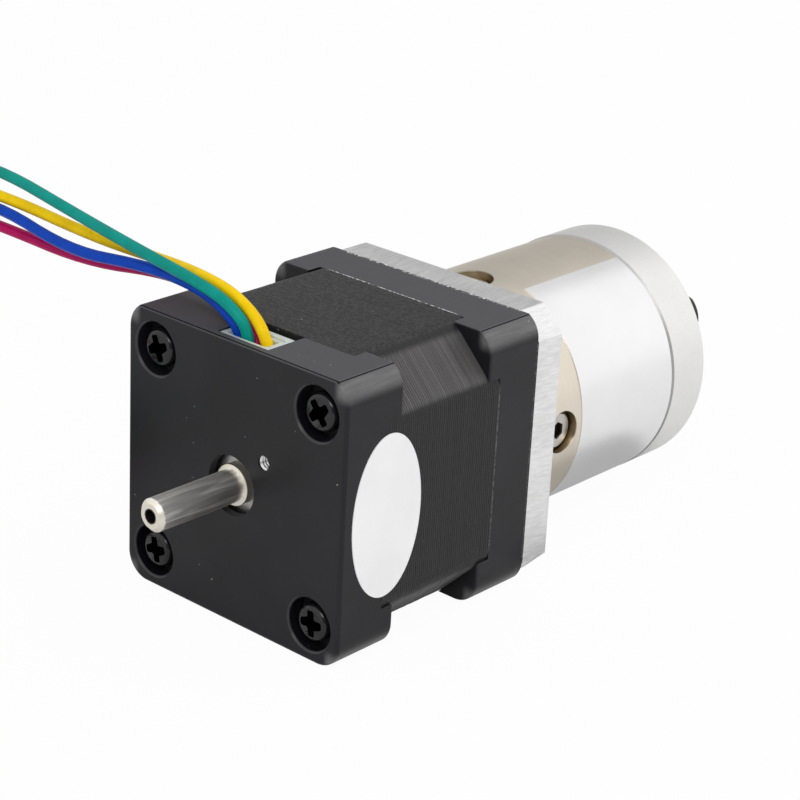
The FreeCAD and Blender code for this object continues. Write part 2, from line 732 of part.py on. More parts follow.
def rotor_shaft():
    bearing_back = f"({REAR_BEARING} + bearing_width)"
    shoulder = f"({REAR_FACE} + shoulder_taper)"
    end = f"({FIRST_GEARS} + gear_width - end_gap)"
    node("rotor_shaft", turned("rotor_shaft_body", [
        ("centre_hole_depth + centre_hole_radius / 2", "0"), ("centre_hole_depth", "centre_hole_radius"),
        ("0", "centre_hole_radius"),
        ("0", "rear_shaft_radius - shaft_chamfer"), ("shaft_chamfer", "rear_shaft_radius"),
        (REAR_FACE, "rear_shaft_radius"), (shoulder, "shaft_radius"),
        (bearing_back, "shaft_radius"), (bearing_back, "core_radius"),
        (FRONT_BEARING, "core_radius"), (FRONT_BEARING, "shaft_radius"),
        (end, "shaft_radius"), (end, "0")]))


def rotor_core(label, start, end, half_step):
    """A rotor cup with fifty straight teeth; the second cup stands half a tooth round."""
    teeth, station = int(value("rotor_teeth")), value(start)
    pitch = 2 * math.pi / teeth
    tip, root = value("rotor_radius"), value("rotor_radius - rotor_tooth_depth")
    points = []
    for number in range(teeth):
        centre = (number + half_step) * pitch
        for radius, offset in ((root, -ROTOR_TOOTH_ROOT), (tip, -ROTOR_TOOTH_TIP),
                               (tip, ROTOR_TOOTH_TIP), (root, ROTOR_TOOTH_ROOT)):
            points.append(polar(radius, centre + offset * pitch, station))
    bore = ring_wire(value(f"core_radius + {SEAT}"), station)
    node(label, formed(f"{label}_body", prism(loop(points), [bore], value(end) - station)))


def rotor_parts():
    magnet_back = f"({STACK_BACK} + (stack_length - magnet_length) / 2)"
    magnet_front = f"({magnet_back} + magnet_length)"
    rotor_core("rotor_core_rear", STACK_BACK, magnet_back, 0)
    rotor_core("rotor_core_front", magnet_front, STACK_FRONT, 0.5)
    node("rotor_magnet", tube("rotor_magnet_body", magnet_back, magnet_front, f"core_radius + {SEAT}",
                              "magnet_radius"))


def ball_circle(kind):
    """The radius of the circle that a bearing's ball centres lie on."""
    return f"(({kind}_inner + {kind}_outer) / 2)"


def bearing(label, kind, start):
    """A ball bearing's two rings, each with a rolling groove, and its balls."""
    pitch = ball_circle(kind)
    middle, end = f"({start} + {kind}_width / 2)", f"({start} + {kind}_width)"
    sides = {"inner": (f"({kind}_inner + {SEAT})", f"({pitch} - {kind}_land)"),
             "outer": (f"({pitch} + {kind}_land)", f"{kind}_outer")}
    for side, (low, high) in sides.items():
        groove = doc.addObject("Part::Torus", f"{label}_{side}_groove")
        groove.setExpression("Radius1", bind(pitch))
        groove.setExpression("Radius2", bind(f"{kind}_ball + race_gap"))
        place(groove, "0", middle, "0", ((1, 0, 0), -90))
        blank = tube(f"{label}_{side}_blank", start, end, low, high)
        node(f"{label}_{side}_ring", cut(f"{label}_{side}_body", blank, groove))
    ball = doc.addObject("Part::Sphere", f"{label}_ball")
    ball.setExpression("Radius", bind(f"{kind}_ball"))
    place(ball, "0", middle, pitch)
    count = int(value(f"{kind}_balls"))
    turns = [FreeCAD.Rotation(Vector(0, 1, 0), 360 * number / count) for number in range(count)]
    copies(f"{label}_balls", ball, [FreeCAD.Placement(Vector(), turn) for turn in turns])


def bearing_cage(label, kind, start):
    """The ring that keeps a bearing's balls apart, with a round pocket for each."""
    pitch, middle = ball_circle(kind), f"({start} + {kind}_width / 2)"
    half = f"({kind}_ball + cage_rail)"
    blank = tube(f"{label}_cage_ring", f"{middle} - {half}", f"{middle} + {half}", f"{pitch} - cage_wall",
                 f"{pitch} + cage_wall")
    count = int(value(f"{kind}_balls"))
    pockets = [spoke(f"{label}_pocket_{number}", f"{pitch} - cut_past", f"{pitch} + cut_past",
                     f"{kind}_ball + race_gap", middle, 360 * number / count)
               for number in range(count)]
    return cut(f"{label}_cage", blank, *pockets)


def along_shaft(*distances):
    return [FreeCAD.Placement(Vector(0, value(text), 0), FreeCAD.Rotation()) for text in distances]


def bearing_pair(label, kind, first, second):
    """Two like bearings on one shaft, with their cages and their four shields as groups."""
    for name, start in (first, second):
        bearing(name, kind, start)
    start, pitch = second[1], ball_circle(kind)
    shield = tube(f"{label}_shield", start, f"{start} + shield_thickness",
                  f"{pitch} - {kind}_land + race_gap", f"{pitch} + {kind}_land - fit_gap")
    far_side = f"({kind}_width - shield_thickness)"
    apart = f"({first[1]} - {second[1]})"
    copies(f"{label}_shields", shield, along_shaft("0", far_side, apart, f"{apart} + {far_side}"))
    copies(f"{label}_cages", bearing_cage(label, kind, start), along_shaft("0", apart))


def preload_washer():
    """A wavy spring washer between the rear cap and the rear bearing's outer ring."""
    outer = value("bearing_outer - end_gap")
    station, sheet_metal = value(f"{REAR_FACE} + rear_lip"), value("preload_sheet")
    swing, waves = (value("preload_gap") - sheet_metal) / 2, value("preload_waves")
    rims = []
    for radius in (outer - value("preload_wall"), outer):
        turns = [math.radians(turn) for turn in range(0, 360, WAVE_STEP)]
        points = [polar(radius, turn, station + swing * (1 + math.cos(waves * turn))) for turn in turns]
        rim = Part.BSplineCurve()
        rim.interpolate(Points=points, PeriodicFlag=True)
        rims.append(rim.toShape())
    waved = Part.makeRuledSurface(*rims)
    node("preload_washer", formed("preload_washer_body", waved.extrude(Vector(0, sheet_metal, 0))))


# Gearbox

def adapter_plate():
    plate = square("plate_slab", PLATE_BACK, PLATE_FRONT, "plate_chamfer")
    whole = fuse("plate_blank", plate, rod("plate_spigot", PLATE_FRONT, SPIGOT_END, "spigot_radius"))
    pilot_end = f"{PLATE_BACK} + pilot_height + fit_gap"
    tools = [rod("plate_pilot", PLATE_BACK, pilot_end, f"pilot_radius + {SEAT}")]
    tools.append(rod("plate_bore_hole", PLATE_BACK, SPIGOT_END, "plate_bore"))
    for number, (x, z) in enumerate(corners_of_square()):
        tools.append(rod(f"plate_screw_hole_{number}", PLATE_BACK, PLATE_FRONT,
                         "mount_screw_radius + screw_clearance", x, z))
        tools.append(funnel(f"plate_sink_{number}", f"{PLATE_FRONT} - plate_screw_sink", PLATE_FRONT,
                            f"mount_screw_radius + {SEAT}", f"plate_screw_head + {SEAT}", x, z))
    for clock in QUARTERS:
        tools.append(spoke(f"lock_thread_{clock}", "lock_screw_end - screw_end_gap", "spigot_radius",
                           f"mount_screw_radius + {SEAT}", f"{PLATE_FRONT} + pocket_station", clock))
    node("adapter_plate", cut("adapter_plate_body", whole, *tools))


def hexagon(name, start, end, x="0", z="0"):
    """A hexagon socket along the axis."""
    made = doc.addObject("Part::Prism", name)
    made.Polygon = 6
    made.setExpression("Circumradius", bind("socket_width / sqrt(3)"))
    made.setExpression("Height", bind(f"{end} - ({start})"))
    return place(made, x, start, z, ((1, 0, 0), -90))


def adapter_screws():
    head_end = f"({PLATE_FRONT} - plate_screw_sink)"
    tip = f"({PLATE_BACK} - mount_thread_depth + screw_end_gap)"
    blank = turned("adapter_screw_blank", [
        (tip, "0"), (tip, "mount_screw_radius"), (head_end, "mount_screw_radius"),
        (PLATE_FRONT, "plate_screw_head"), (PLATE_FRONT, "0")])
    socket = hexagon("adapter_socket", f"{PLATE_FRONT} - socket_depth", PLATE_FRONT)
    screw = cut("adapter_screw", blank, socket)
    copies("adapter_screws", screw, [FreeCAD.Placement(Vector(value(x), 0, value(z)), FreeCAD.Rotation())
                                     for x, z in corners_of_square()])


def ring_gear_housing():
    barrel = rod("barrel", PLATE_FRONT, FLANGE_BACK, "tube_radius")
    tools = [rod("barrel_rear_seat", PLATE_FRONT, SPIGOT_END, f"spigot_radius + {SEAT}")]
    tools.append(rod("barrel_front_seat", FLANGE_INSIDE, FLANGE_BACK, f"spigot_radius + {SEAT}"))
    module, teeth = value("gear_module"), int(value("ring_teeth"))
    pitch = module * teeth / 2
    space = module * math.pi / 2 + value("tooth_thinning")
    outline = toothed_wire(teeth, space, pitch + DEDENDUM * module, pitch - module, 0, value(SPIGOT_END))
    tools.append(formed("ring_teeth_room", prism(outline, [], value(f"{FLANGE_INSIDE} - {SPIGOT_END}"))))
    station = f"{PLATE_FRONT} + pocket_station"
    for clock in QUARTERS:
        tools.append(spoke(f"lock_pocket_{clock}", "pocket_floor", "tube_radius + cut_past", "pocket_radius",
                           station, clock))
        tools.append(spoke(f"lock_hole_{clock}", "spigot_radius - cut_past", "pocket_floor",
                           "mount_screw_radius + screw_clearance", station, clock))
    node("ring_gear_housing", cut("ring_gear_housing_body", barrel, *tools))


def housing_screws():
    """The four locking screws that stand in the pockets round the housing."""
    top = "(pocket_floor + lock_screw_head_height)"
    blank = turned("lock_screw_blank", [
        ("lock_screw_end", "0"), ("lock_screw_end", "mount_screw_radius"),
        ("pocket_floor", "mount_screw_radius"), ("pocket_floor", "lock_screw_head_radius"),
        (f"{top} - screw_head_edge", "lock_screw_head_radius"),
        (top, "lock_screw_head_radius - screw_head_edge"), (top, "0")])
    screw = cut("lock_screw", blank, hexagon("lock_socket", f"{top} - socket_depth", top))
    station = value(f"{PLATE_FRONT} + pocket_station")
    stand = FreeCAD.Rotation(Vector(1, 0, 0), 90)
    copies("housing_screws", screw,
           [FreeCAD.Placement(Vector(0, station, 0), FreeCAD.Rotation(Vector(0, 1, 0), clock).multiply(stand))
            for clock in QUARTERS])


def front_flange():
    blank = turned("flange_blank", [
        (FLANGE_INSIDE, f"output_bearing_outer + {SEAT}"), (FLANGE_INSIDE, "spigot_radius"),
        (FLANGE_BACK, "spigot_radius"), (FLANGE_BACK, "flange_radius - flange_edge"),
        (f"{FLANGE_BACK} + flange_edge", "flange_radius"), (f"{FACE} - flange_edge", "flange_radius"),
        (FACE, "flange_radius - flange_edge"), (FACE, "output_boss_radius"),
        (f"{FACE} + boss_height", "output_boss_radius"), (f"{FACE} + boss_height", "output_lip_radius"),
        (f"{FACE} + boss_height - output_lip", "output_lip_radius"),
        (f"{FACE} + boss_height - output_lip", f"output_bearing_outer + {SEAT}")])
    holes = [rod(f"face_hole_{number}", f"{FACE} - face_hole_depth", FACE, "face_hole_radius", x, z)
             for number, (x, z) in enumerate(corners_of_square("face_hole_circle / sqrt(2)"))]
    node("front_flange", cut("front_flange_body", blank, *holes))


def thrust_washer(label, start, inner, outer):
    node(label, tube(f"{label}_body", start, f"{start} + washer_thickness", inner, outer))


def carrier(label, start, end, bore, hub_end, pins):
    disc = rod(f"{label}_disc", start, end, "carrier_radius")
    whole = disc
    if hub_end != end:
        whole = fuse(f"{label}_blank", disc, rod(f"{label}_hub", start, hub_end, "carrier_hub_radius"))
    tools = [rod(f"{label}_bore", start, hub_end, f"{bore} + {SEAT}")]
    tools += [rod(f"{label}_pin_hole_{number}", start, end, f"pin_radius + {SEAT}", str(x), str(z))
              for number, (x, z) in enumerate(pins)]
    node(label, cut(f"{label}_body", whole, *tools))


def first_stage():
    distance, phase = planets("first", "first_planet_teeth", "first_sun_teeth", FIRST_GEARS)
    node("first_sun", gear("first_sun_body", int(value("first_sun_teeth")), value("sun_shift"),
                           f"shaft_radius + {SEAT}", f"{SPIGOT_END} + washer_thickness",
                           f"{FIRST_GEARS} + gear_width", phase))
    carrier_end = f"({FIRST_CARRIER} + first_carrier_width)"
    pins = planet_pins("first", distance, f"{FIRST_GEARS} - end_gap", carrier_end)
    carrier("first_carrier", FIRST_CARRIER, carrier_end, "sun_shank_radius", carrier_end, pins)


def second_stage():
    distance, phase = planets("second", "second_planet_teeth", "second_sun_teeth", SECOND_GEARS)
    shank_end = f"({FIRST_CARRIER} + first_carrier_width)"
    teeth = gear("second_sun_teeth_body", int(value("second_sun_teeth")), value("sun_shift"), None, shank_end,
                 f"{SECOND_GEARS} + gear_width - 2 * end_gap", phase)
    node("second_sun", fuse("second_sun_body", teeth, rod("second_sun_shank", FIRST_CARRIER, shank_end,
                                                          "sun_shank_radius")))
    carrier_end = f"({SECOND_CARRIER} + second_carrier_width)"
    pins = planet_pins("second", distance, f"{SECOND_GEARS} - end_gap", carrier_end)
    carrier("output_carrier", SECOND_CARRIER, carrier_end, "output_radius", INNER_BEARING, pins)


def output_shaft():
    groove = f"({OUTER_BEARING} + output_bearing_width)"
    groove_end = f"({groove} + clip_thickness)"
    blank = turned("output_shaft_blank", [
        (SECOND_CARRIER, "0"), (SECOND_CARRIER, "output_radius"), (groove, "output_radius"),
        (groove, "output_radius - clip_groove"), (groove_end, "output_radius - clip_groove"),
        (groove_end, "output_radius"), (f"{TIP} - shaft_chamfer", "output_radius"),
        (TIP, "output_radius - shaft_chamfer"), (TIP, "0")])
    flat = block("output_flat_tool", ("-output_radius", f"{TIP} - output_flat_length", "output_flat"),
                 ("2 * output_radius", "output_flat_length", "output_radius"))
    node("output_shaft", cut("output_shaft_body", blank, flat))
    ring = tube("clip_ring", groove, groove_end, f"output_radius - clip_groove + {SEAT}", "clip_radius")
    gap = block("clip_gap", ("-clip_opening / 2", groove, "-clip_radius"),
                ("clip_opening", "clip_thickness", "clip_radius"))
    node("retaining_ring", cut("retaining_ring_body", ring, gap))
    spacer_start = f"({INNER_BEARING} + output_bearing_width)"
    node("bearing_spacer_ring", tube("bearing_spacer_body", spacer_start, OUTER_BEARING,
                                     "output_bearing_outer - spacer_wall", "output_bearing_outer"))


def gearbox_label():
    """A thin foil wrapped round one side of the housing."""
    radius, station = value("tube_radius"), value(f"{PLATE_FRONT} + tube_label_start")
    first, last = math.radians(value("tube_label_from")), math.radians(value("tube_label_to"))
    middle, outer = (first + last) / 2, radius + value("label_thickness")
    outline = loop([(polar(radius, middle, station), polar(radius, first, station)),
                    polar(outer, first, station),
                    (polar(outer, middle, station), polar(outer, last, station)),
                    polar(radius, last, station)])
    length = value(f"{FLANGE_BACK} - end_gap") - station
    node("gearbox_label", formed("gearbox_label_body", prism(outline, [], length)))


# Leads: points of each route as x, distance in front of the rear face, and height above the axis
LEADS = {
    "lead_green": [(-0.59, 2.79, 14.86), (-0.21, 2.9, 17.96), (-3.39, 2.08, 21.01), (-8.63, 2.3, 21.99),
                   (-17.78, 2.32, 23.11), (-30.37, 2.99, 24.46), (-45.78, 3.56, 26.52), (-57.58, 2.23, 25.9),
                   (-66.5, -4.0, 20.5), (-70.5, -12.5, 11.0), (-67.5, -22.0, 0.5), (-59.0, -29.0, -8.0),
                   (-49.5, -31.2, -11.5)],
    "lead_yellow": [(2.01, 3.82, 14.88), (1.28, 3.79, 18.39), (-3.77, 3.97, 21.29), (-9.24, 4.03, 22.07),
                    (-16.26, 5.65, 21.42), (-28.9, 4.84, 21.46), (-45.6, 4.52, 22.68), (-57.08, 2.61, 22.96),
                    (-65.0, -3.6, 17.6), (-68.6, -12.0, 8.4), (-66.0, -21.4, -2.0), (-58.6, -28.2, -10.2),
                    (-49.5, -31.2, -13.0)],
    "lead_blue": [(-2.26, 3.76, 14.49), (-1.62, 2.82, 17.84), (-6.08, 3.14, 20.17), (-11.58, 3.35, 21.05),
                  (-19.25, 3.31, 20.97), (-31.15, 2.59, 19.67), (-45.87, 3.34, 21.88), (-56.62, 2.24, 20.64),
                  (-66.0, -2.8, 15.2), (-70.4, -12.0, 5.9), (-67.8, -22.0, -4.6), (-59.2, -29.4, -12.0),
                  (-49.5, -31.2, -14.5)],
    "lead_red": [(0.33, 3.96, 14.3), (-0.21, 4.53, 16.07), (-4.02, 4.48, 19.22), (-8.71, 6.33, 19.07),
                 (-17.89, 6.37, 19.7), (-30.78, 4.97, 17.88), (-45.92, 4.69, 18.49), (-56.61, 2.59, 19.33),
                 (-64.6, -2.8, 12.8), (-68.4, -11.5, 3.4), (-66.0, -21.2, -6.8), (-58.4, -28.4, -13.9),
                 (-49.5, -31.2, -16.0)],
}
ARC_SHARE = 0.45


def lead(label, route):
    """A lead's tube: straight runs joined by arcs as large as the runs allow."""
    shift = Vector(0, value(REAR_FACE), 0)
    points = [Vector(*point) + shift for point in route]
    radius = value("lead_diameter") / 2
    edges, radii, last = [], [], points[0]
    for before, here, after in zip(points, points[1:], points[2:]):
        reach = ARC_SHARE * min((before - here).Length, (after - here).Length)
        enter, middle, leave, bend = corner_arc(before, here, after, reach)
        edges += [Part.LineSegment(last, enter).toShape(), Part.Arc(enter, middle, leave).toShape()]
        radii.append(bend)
        last = leave
    edges.append(Part.LineSegment(last, points[-1]).toShape())
    path = Part.Wire(edges)
    section = Part.Wire(Part.Circle(points[0], points[1] - points[0], radius).toShape())
    swept = path.makePipeShell([section], True, False)
    expected = math.pi * radius ** 2 * path.Length
    print(f"{label}: length {path.Length:.1f}, smallest radius {min(radii):.1f}, "
          f"volume {swept.Volume:.2f} of {expected:.2f}, radii {[round(bend, 1) for bend in radii]}")
    node(label, formed(f"{label}_tube", swept))


def lead_hank():
    """The put-away length of the four leads, coiled on the surface and tied."""
    across, station = "hank_x", f"({REAR_FACE} + hank_station)"
    floor = "(tie_thickness - frame_side / 2)"
    outer, inner = "(hank_radius + hank_width / 2)", "(hank_radius - hank_width / 2)"
    rings = []
    for name, radius in (("hank_out", outer), ("hank_in", inner)):
        ring = doc.addObject("Part::Cylinder", name)
        ring.setExpression("Radius", bind(radius))
        ring.setExpression("Height", bind("hank_height"))
        rings.append(place(ring, across, station, floor))
    node("lead_hank", cut("lead_hank_body", *rings))
    side, near = f"{across} - tie_width / 2", f"{station} + {inner}"
    band = block("tie_band", (side, f"{near} - tie_thickness", "-frame_side / 2"),
                 ("tie_width", "hank_width + 2 * tie_thickness", "hank_height + 2 * tie_thickness"))
    room = block("tie_room", (side, f"{near} - tie_slack", floor),
                 ("tie_width", "hank_width + tie_slack", "hank_height"))
    node("lead_tie", cut("lead_tie_body", band, room))
    tips = []
    for number, route in enumerate(LEADS.values()):
        level = route[-1][2]
        turn = math.radians(value(f"tip_first_angle + {number} * tip_angle_step"))
        foot = Vector(value(across), value(station), level)
        foot += Vector(math.cos(turn), math.sin(turn), 0) * value(inner)
        turn += math.radians(value("tip_lean"))
        aim = Vector(math.cos(turn), math.sin(turn), 0)
        tips.append(Part.makeCylinder(value("tip_radius"), value("tip_length"), foot, aim))
    node("lead_tips", formed("lead_tips_body", Part.makeCompound(tips)))


rear_end_cap()
front_end_cap()
stator_stack()
insulator("rear_insulator", STACK_BACK, -1)
insulator("front_insulator", STACK_FRONT, 1)
phase_coils("phase_a_coils", 0)
phase_coils("phase_b_coils", 1)
motor_screws()
lead_grommet()
oval_label()
rotor_shaft()
rotor_parts()
bearing_pair("motor_bearing", "bearing", ("front_bearing", FRONT_BEARING), ("rear_bearing", REAR_BEARING))
preload_washer()
adapter_plate()
adapter_screws()
ring_gear_housing()
housing_screws()
front_flange()
thrust_washer("thrust_washer", SPIGOT_END, "plate_bore", "carrier_radius")
first_stage()
second_stage()
bearing_pair("output_bearing", "output_bearing", ("outer_output_bearing", OUTER_BEARING),
             ("inner_output_bearing", INNER_BEARING))
output_shaft()
gearbox_label()
for lead_name, lead_route in LEADS.items():
    lead(lead_name, lead_route)
lead_hank()

doc.recompute()
for thing in doc.Objects:
    if "Invalid" in thing.State or "Error" in thing.State:
        raise SystemExit(f"{thing.Name} failed: {thing.State}")
os.makedirs("parts", exist_ok=True)
for thing in nodes:
    shape = thing.Shape
    if shape.isNull() or not shape.isValid():
        raise SystemExit(f"{thing.Label} has no sound shape")
    shape.exportStep(f"parts/{thing.Label}.step")
    print(f"{thing.Label}: {len(shape.Solids)} solid(s), {shape.Volume:.1f} cubic millimetres")
print(f"{len(nodes)} sub-parts")
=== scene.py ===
# %% [markdown]
# A geared stepper motor, dressed for its portrait.
# The solids come from a CAD pack in metres: the shaft axis is Y, the output shaft points to +Y,
# and the origin is the middle of the gearbox's front face. We load them as a fixed frame and only add
# finishes and finer pieces, because a solid that is already right needs no second modelling.

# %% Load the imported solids
import math
import random
import bmesh
import bpy
from mathutils import Matrix, Vector


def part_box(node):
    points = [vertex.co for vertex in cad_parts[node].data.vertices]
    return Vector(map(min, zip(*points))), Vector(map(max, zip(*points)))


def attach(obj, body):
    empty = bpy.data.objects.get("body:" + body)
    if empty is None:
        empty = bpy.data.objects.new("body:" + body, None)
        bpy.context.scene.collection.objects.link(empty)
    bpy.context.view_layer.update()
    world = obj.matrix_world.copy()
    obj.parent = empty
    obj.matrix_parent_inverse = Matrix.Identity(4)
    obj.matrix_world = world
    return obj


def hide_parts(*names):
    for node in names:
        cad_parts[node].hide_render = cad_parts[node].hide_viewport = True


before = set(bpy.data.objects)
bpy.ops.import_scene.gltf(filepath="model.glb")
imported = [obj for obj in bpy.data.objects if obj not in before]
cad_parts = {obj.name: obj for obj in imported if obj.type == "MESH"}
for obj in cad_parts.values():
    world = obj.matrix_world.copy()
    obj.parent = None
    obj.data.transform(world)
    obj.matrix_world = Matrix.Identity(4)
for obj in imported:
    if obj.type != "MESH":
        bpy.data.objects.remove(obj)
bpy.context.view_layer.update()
MM = 0.001


def short(numbers, places=4):
    """Numbers rounded for printing."""
    return [round(number, places) for number in numbers]


# %% [markdown]
# The camera stands behind and above the motor, to the right of its rear shaft.
# It could be aimed by eye, but a long lens hides small errors of angle, so its place and its three
# axes were fitted to the straight edges of the motor. The axes are the columns of its matrix.

# %% Camera
CAMERA_PLACE = Vector((176.4, -245.93, 113.05)) * MM
CAMERA_RIGHT = Vector((0.74179, 0.66893, 0.04831))
CAMERA_UP = Vector((-0.28724, 0.25171, 0.92415))
CAMERA_BACK = Vector((0.60603, -0.69947, 0.37891))
CAMERA_LENS = 106.42
SENSOR = 36.0

scene = bpy.context.scene
lens = bpy.data.cameras.new("portrait_lens")
lens.lens = CAMERA_LENS
lens.sensor_width = SENSOR
camera = bpy.data.objects.new("portrait_camera", lens)
scene.collection.objects.link(camera)
camera_axes = Matrix((CAMERA_RIGHT, CAMERA_UP, CAMERA_BACK)).transposed()
camera.matrix_world = Matrix.Translation(CAMERA_PLACE) @ camera_axes.to_4x4()
scene.camera = camera
scene.view_settings.view_transform = "Standard"
print("camera at", short(CAMERA_PLACE, 3))

# %% [markdown]
# A motor is measured along its shaft, from its rear face. The stations of the caps, the stack and the
# plate could be typed in, but the frame knows them, so they are read from it and used everywhere below.

# %% Stations along the shaft, in millimetres
def span(name):
    """A solid's lowest and highest corners."""
    low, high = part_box(name)
    return low / MM, high / MM


REAR_FACE = span("rear_end_cap")[0].y
CAP_HALF = span("rear_end_cap")[1].x
STACK_BACK, STACK_FRONT = [corner.y for corner in span("stator_stack")]
PLATE_BACK = span("adapter_plate")[0].y
print("stations and half width:", short((REAR_FACE, STACK_BACK, STACK_FRONT, PLATE_BACK, CAP_HALF), 2))

# %% [markdown]
# Four leads come out of the motor, run left in a loose bundle and are put away in a tied hank.
# A lead could be a chain of bent cylinders, but a real one is a single soft line, so each is one
# NURBS curve with a round bevel. The points of the route pull the line without pinning it, and the
# turns of the hank are more points of the same line, on a flat spiral at the lead's own level.

# %% Routes of the leads: across, in front of the rear face, and above the shaft axis
LEAD_DIAMETER = 1.4
LEAD_POINTS = {
    "green": [(-0.59, 2.79, 14.86), (-0.21, 2.9, 17.96), (-3.39, 2.08, 21.01), (-8.63, 2.3, 21.99),
              (-17.78, 2.32, 23.11), (-30.37, 2.99, 24.46), (-45.78, 3.56, 26.52), (-57.58, 2.23, 25.9),
              (-66.5, -4.0, 20.5), (-70.5, -12.5, 11.0), (-67.5, -22.0, 0.5), (-59.0, -29.0, -8.0),
              (-49.5, -31.2, -11.5)],
    "yellow": [(2.01, 3.82, 14.88), (1.28, 3.79, 18.39), (-3.77, 3.97, 21.29), (-9.24, 4.03, 22.07),
               (-16.26, 5.65, 21.42), (-28.9, 4.84, 21.46), (-45.6, 4.52, 22.68), (-57.08, 2.61, 22.96),
               (-65.0, -3.6, 17.6), (-68.6, -12.0, 8.4), (-66.0, -21.4, -2.0), (-58.6, -28.2, -10.2),
               (-49.5, -31.2, -13.0)],
    "blue": [(-2.26, 3.76, 14.49), (-1.62, 2.82, 17.84), (-6.08, 3.14, 20.17), (-11.58, 3.35, 21.05),
             (-19.25, 3.31, 20.97), (-31.15, 2.59, 19.67), (-45.87, 3.34, 21.88), (-56.62, 2.24, 20.64),
             (-66.0, -2.8, 15.2), (-70.4, -12.0, 5.9), (-67.8, -22.0, -4.6), (-59.2, -29.4, -12.0),
             (-49.5, -31.2, -14.5)],
    "red": [(0.33, 3.96, 14.3), (-0.21, 4.53, 16.07), (-4.02, 4.48, 19.22), (-8.71, 6.33, 19.07),
            (-17.89, 6.37, 19.7), (-30.78, 4.97, 17.88), (-45.92, 4.69, 18.49), (-56.61, 2.59, 19.33),
            (-64.6, -2.8, 12.8), (-68.4, -11.5, 3.4), (-66.0, -21.2, -6.8), (-58.4, -28.4, -13.9),
            (-49.5, -31.2, -16.0)],
}
ROUTES = {name: [(x, REAR_FACE + along, z) for x, along, z in points] for name, points in LEAD_POINTS.items()}
print("points per route:", {name: len(route) for name, route in ROUTES.items()})

# %% Turns of the hank
HANK_CENTRE = Vector((-48.0, REAR_FACE - 20.0))
POINTS_PER_TURN = 16
HANK_TURNS = 3
# A line pulled by points on a circle runs a little inside it
LINE_INSIDE = 0.75 + 0.25 * math.cos(2 * math.pi / POINTS_PER_TURN)
# Where each lead's inner end lies, in degrees round the hank, and how near the centre it gets
INNER_END = {"green": (280, 7.03), "yellow": (300, 6.88), "blue": (320, 6.71), "red": (340, 6.57)}


def towards(degrees):
    """One step from the hank's centre at that angle."""
    angle = math.radians(degrees)
    return Vector((math.cos(angle), math.sin(angle)))


def hank_points(name):
    """The spiral that goes on from the end of a route to the lead's inner end."""
    last = Vector(ROUTES[name][-1])
    arm = last.xy - HANK_CENTRE
    first_angle = math.degrees(math.atan2(arm.y, arm.x)) % 360
    end_angle, end_radius = INNER_END[name]
    sweep = end_angle + 360 * HANK_TURNS - first_angle
    count = round(sweep / 360 * POINTS_PER_TURN)
    points = []
    for step in range(1, count + 1):
        share = step / count
        radius = (arm.length + (end_radius - arm.length) * share) / LINE_INSIDE
        across = HANK_CENTRE + towards(first_angle + sweep * share) * radius
        points.append((across.x, across.y, last.z))
    return points


print("hank points:", {name: len(hank_points(name)) for name in ROUTES})

# %% Lead curves
LEAD_SIDES = 6
LEAD_STEPS = 6


def lead_curve(name):
    """One lead from the lead exit to its inner end in the hank."""
    points = ROUTES[name] + hank_points(name)
    curve = bpy.data.curves.new(f"lead_{name}_line", "CURVE")
    curve.dimensions = "3D"
    line = curve.splines.new("NURBS")
    line.points.add(len(points) - 1)
    # A curve's box reaches past its points by their radius, so the thickness is kept in the points
    for knot, point in zip(line.points, points):
        knot.co = (*(Vector(point) * MM), 1.0)
        knot.radius = LEAD_DIAMETER / 2 * MM
    line.order_u = 3
    line.use_endpoint_u = True
    line.resolution_u = LEAD_STEPS
    curve.bevel_depth = 1.0
    curve.bevel_resolution = LEAD_SIDES
    curve.use_fill_caps = True
    lead = bpy.data.objects.new(f"lead_{name}_sleeve", curve)
    scene.collection.objects.link(lead)
    return lead


leads = {name: lead_curve(name) for name in ROUTES}
for name, lead in leads.items():
    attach(lead, "housing")
    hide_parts(f"lead_{name}")
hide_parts("lead_hank")
print("leads:", [lead.name for lead in leads.values()])

# %% [markdown]
# The motor stands in a white tent: a white floor, white all round, and one soft bright side.
# More lamps could make the floor white, but they would bleach the motor. So the floor and the
# surroundings are white only to the camera, to gloss and to clear plastic, and give a plain light.

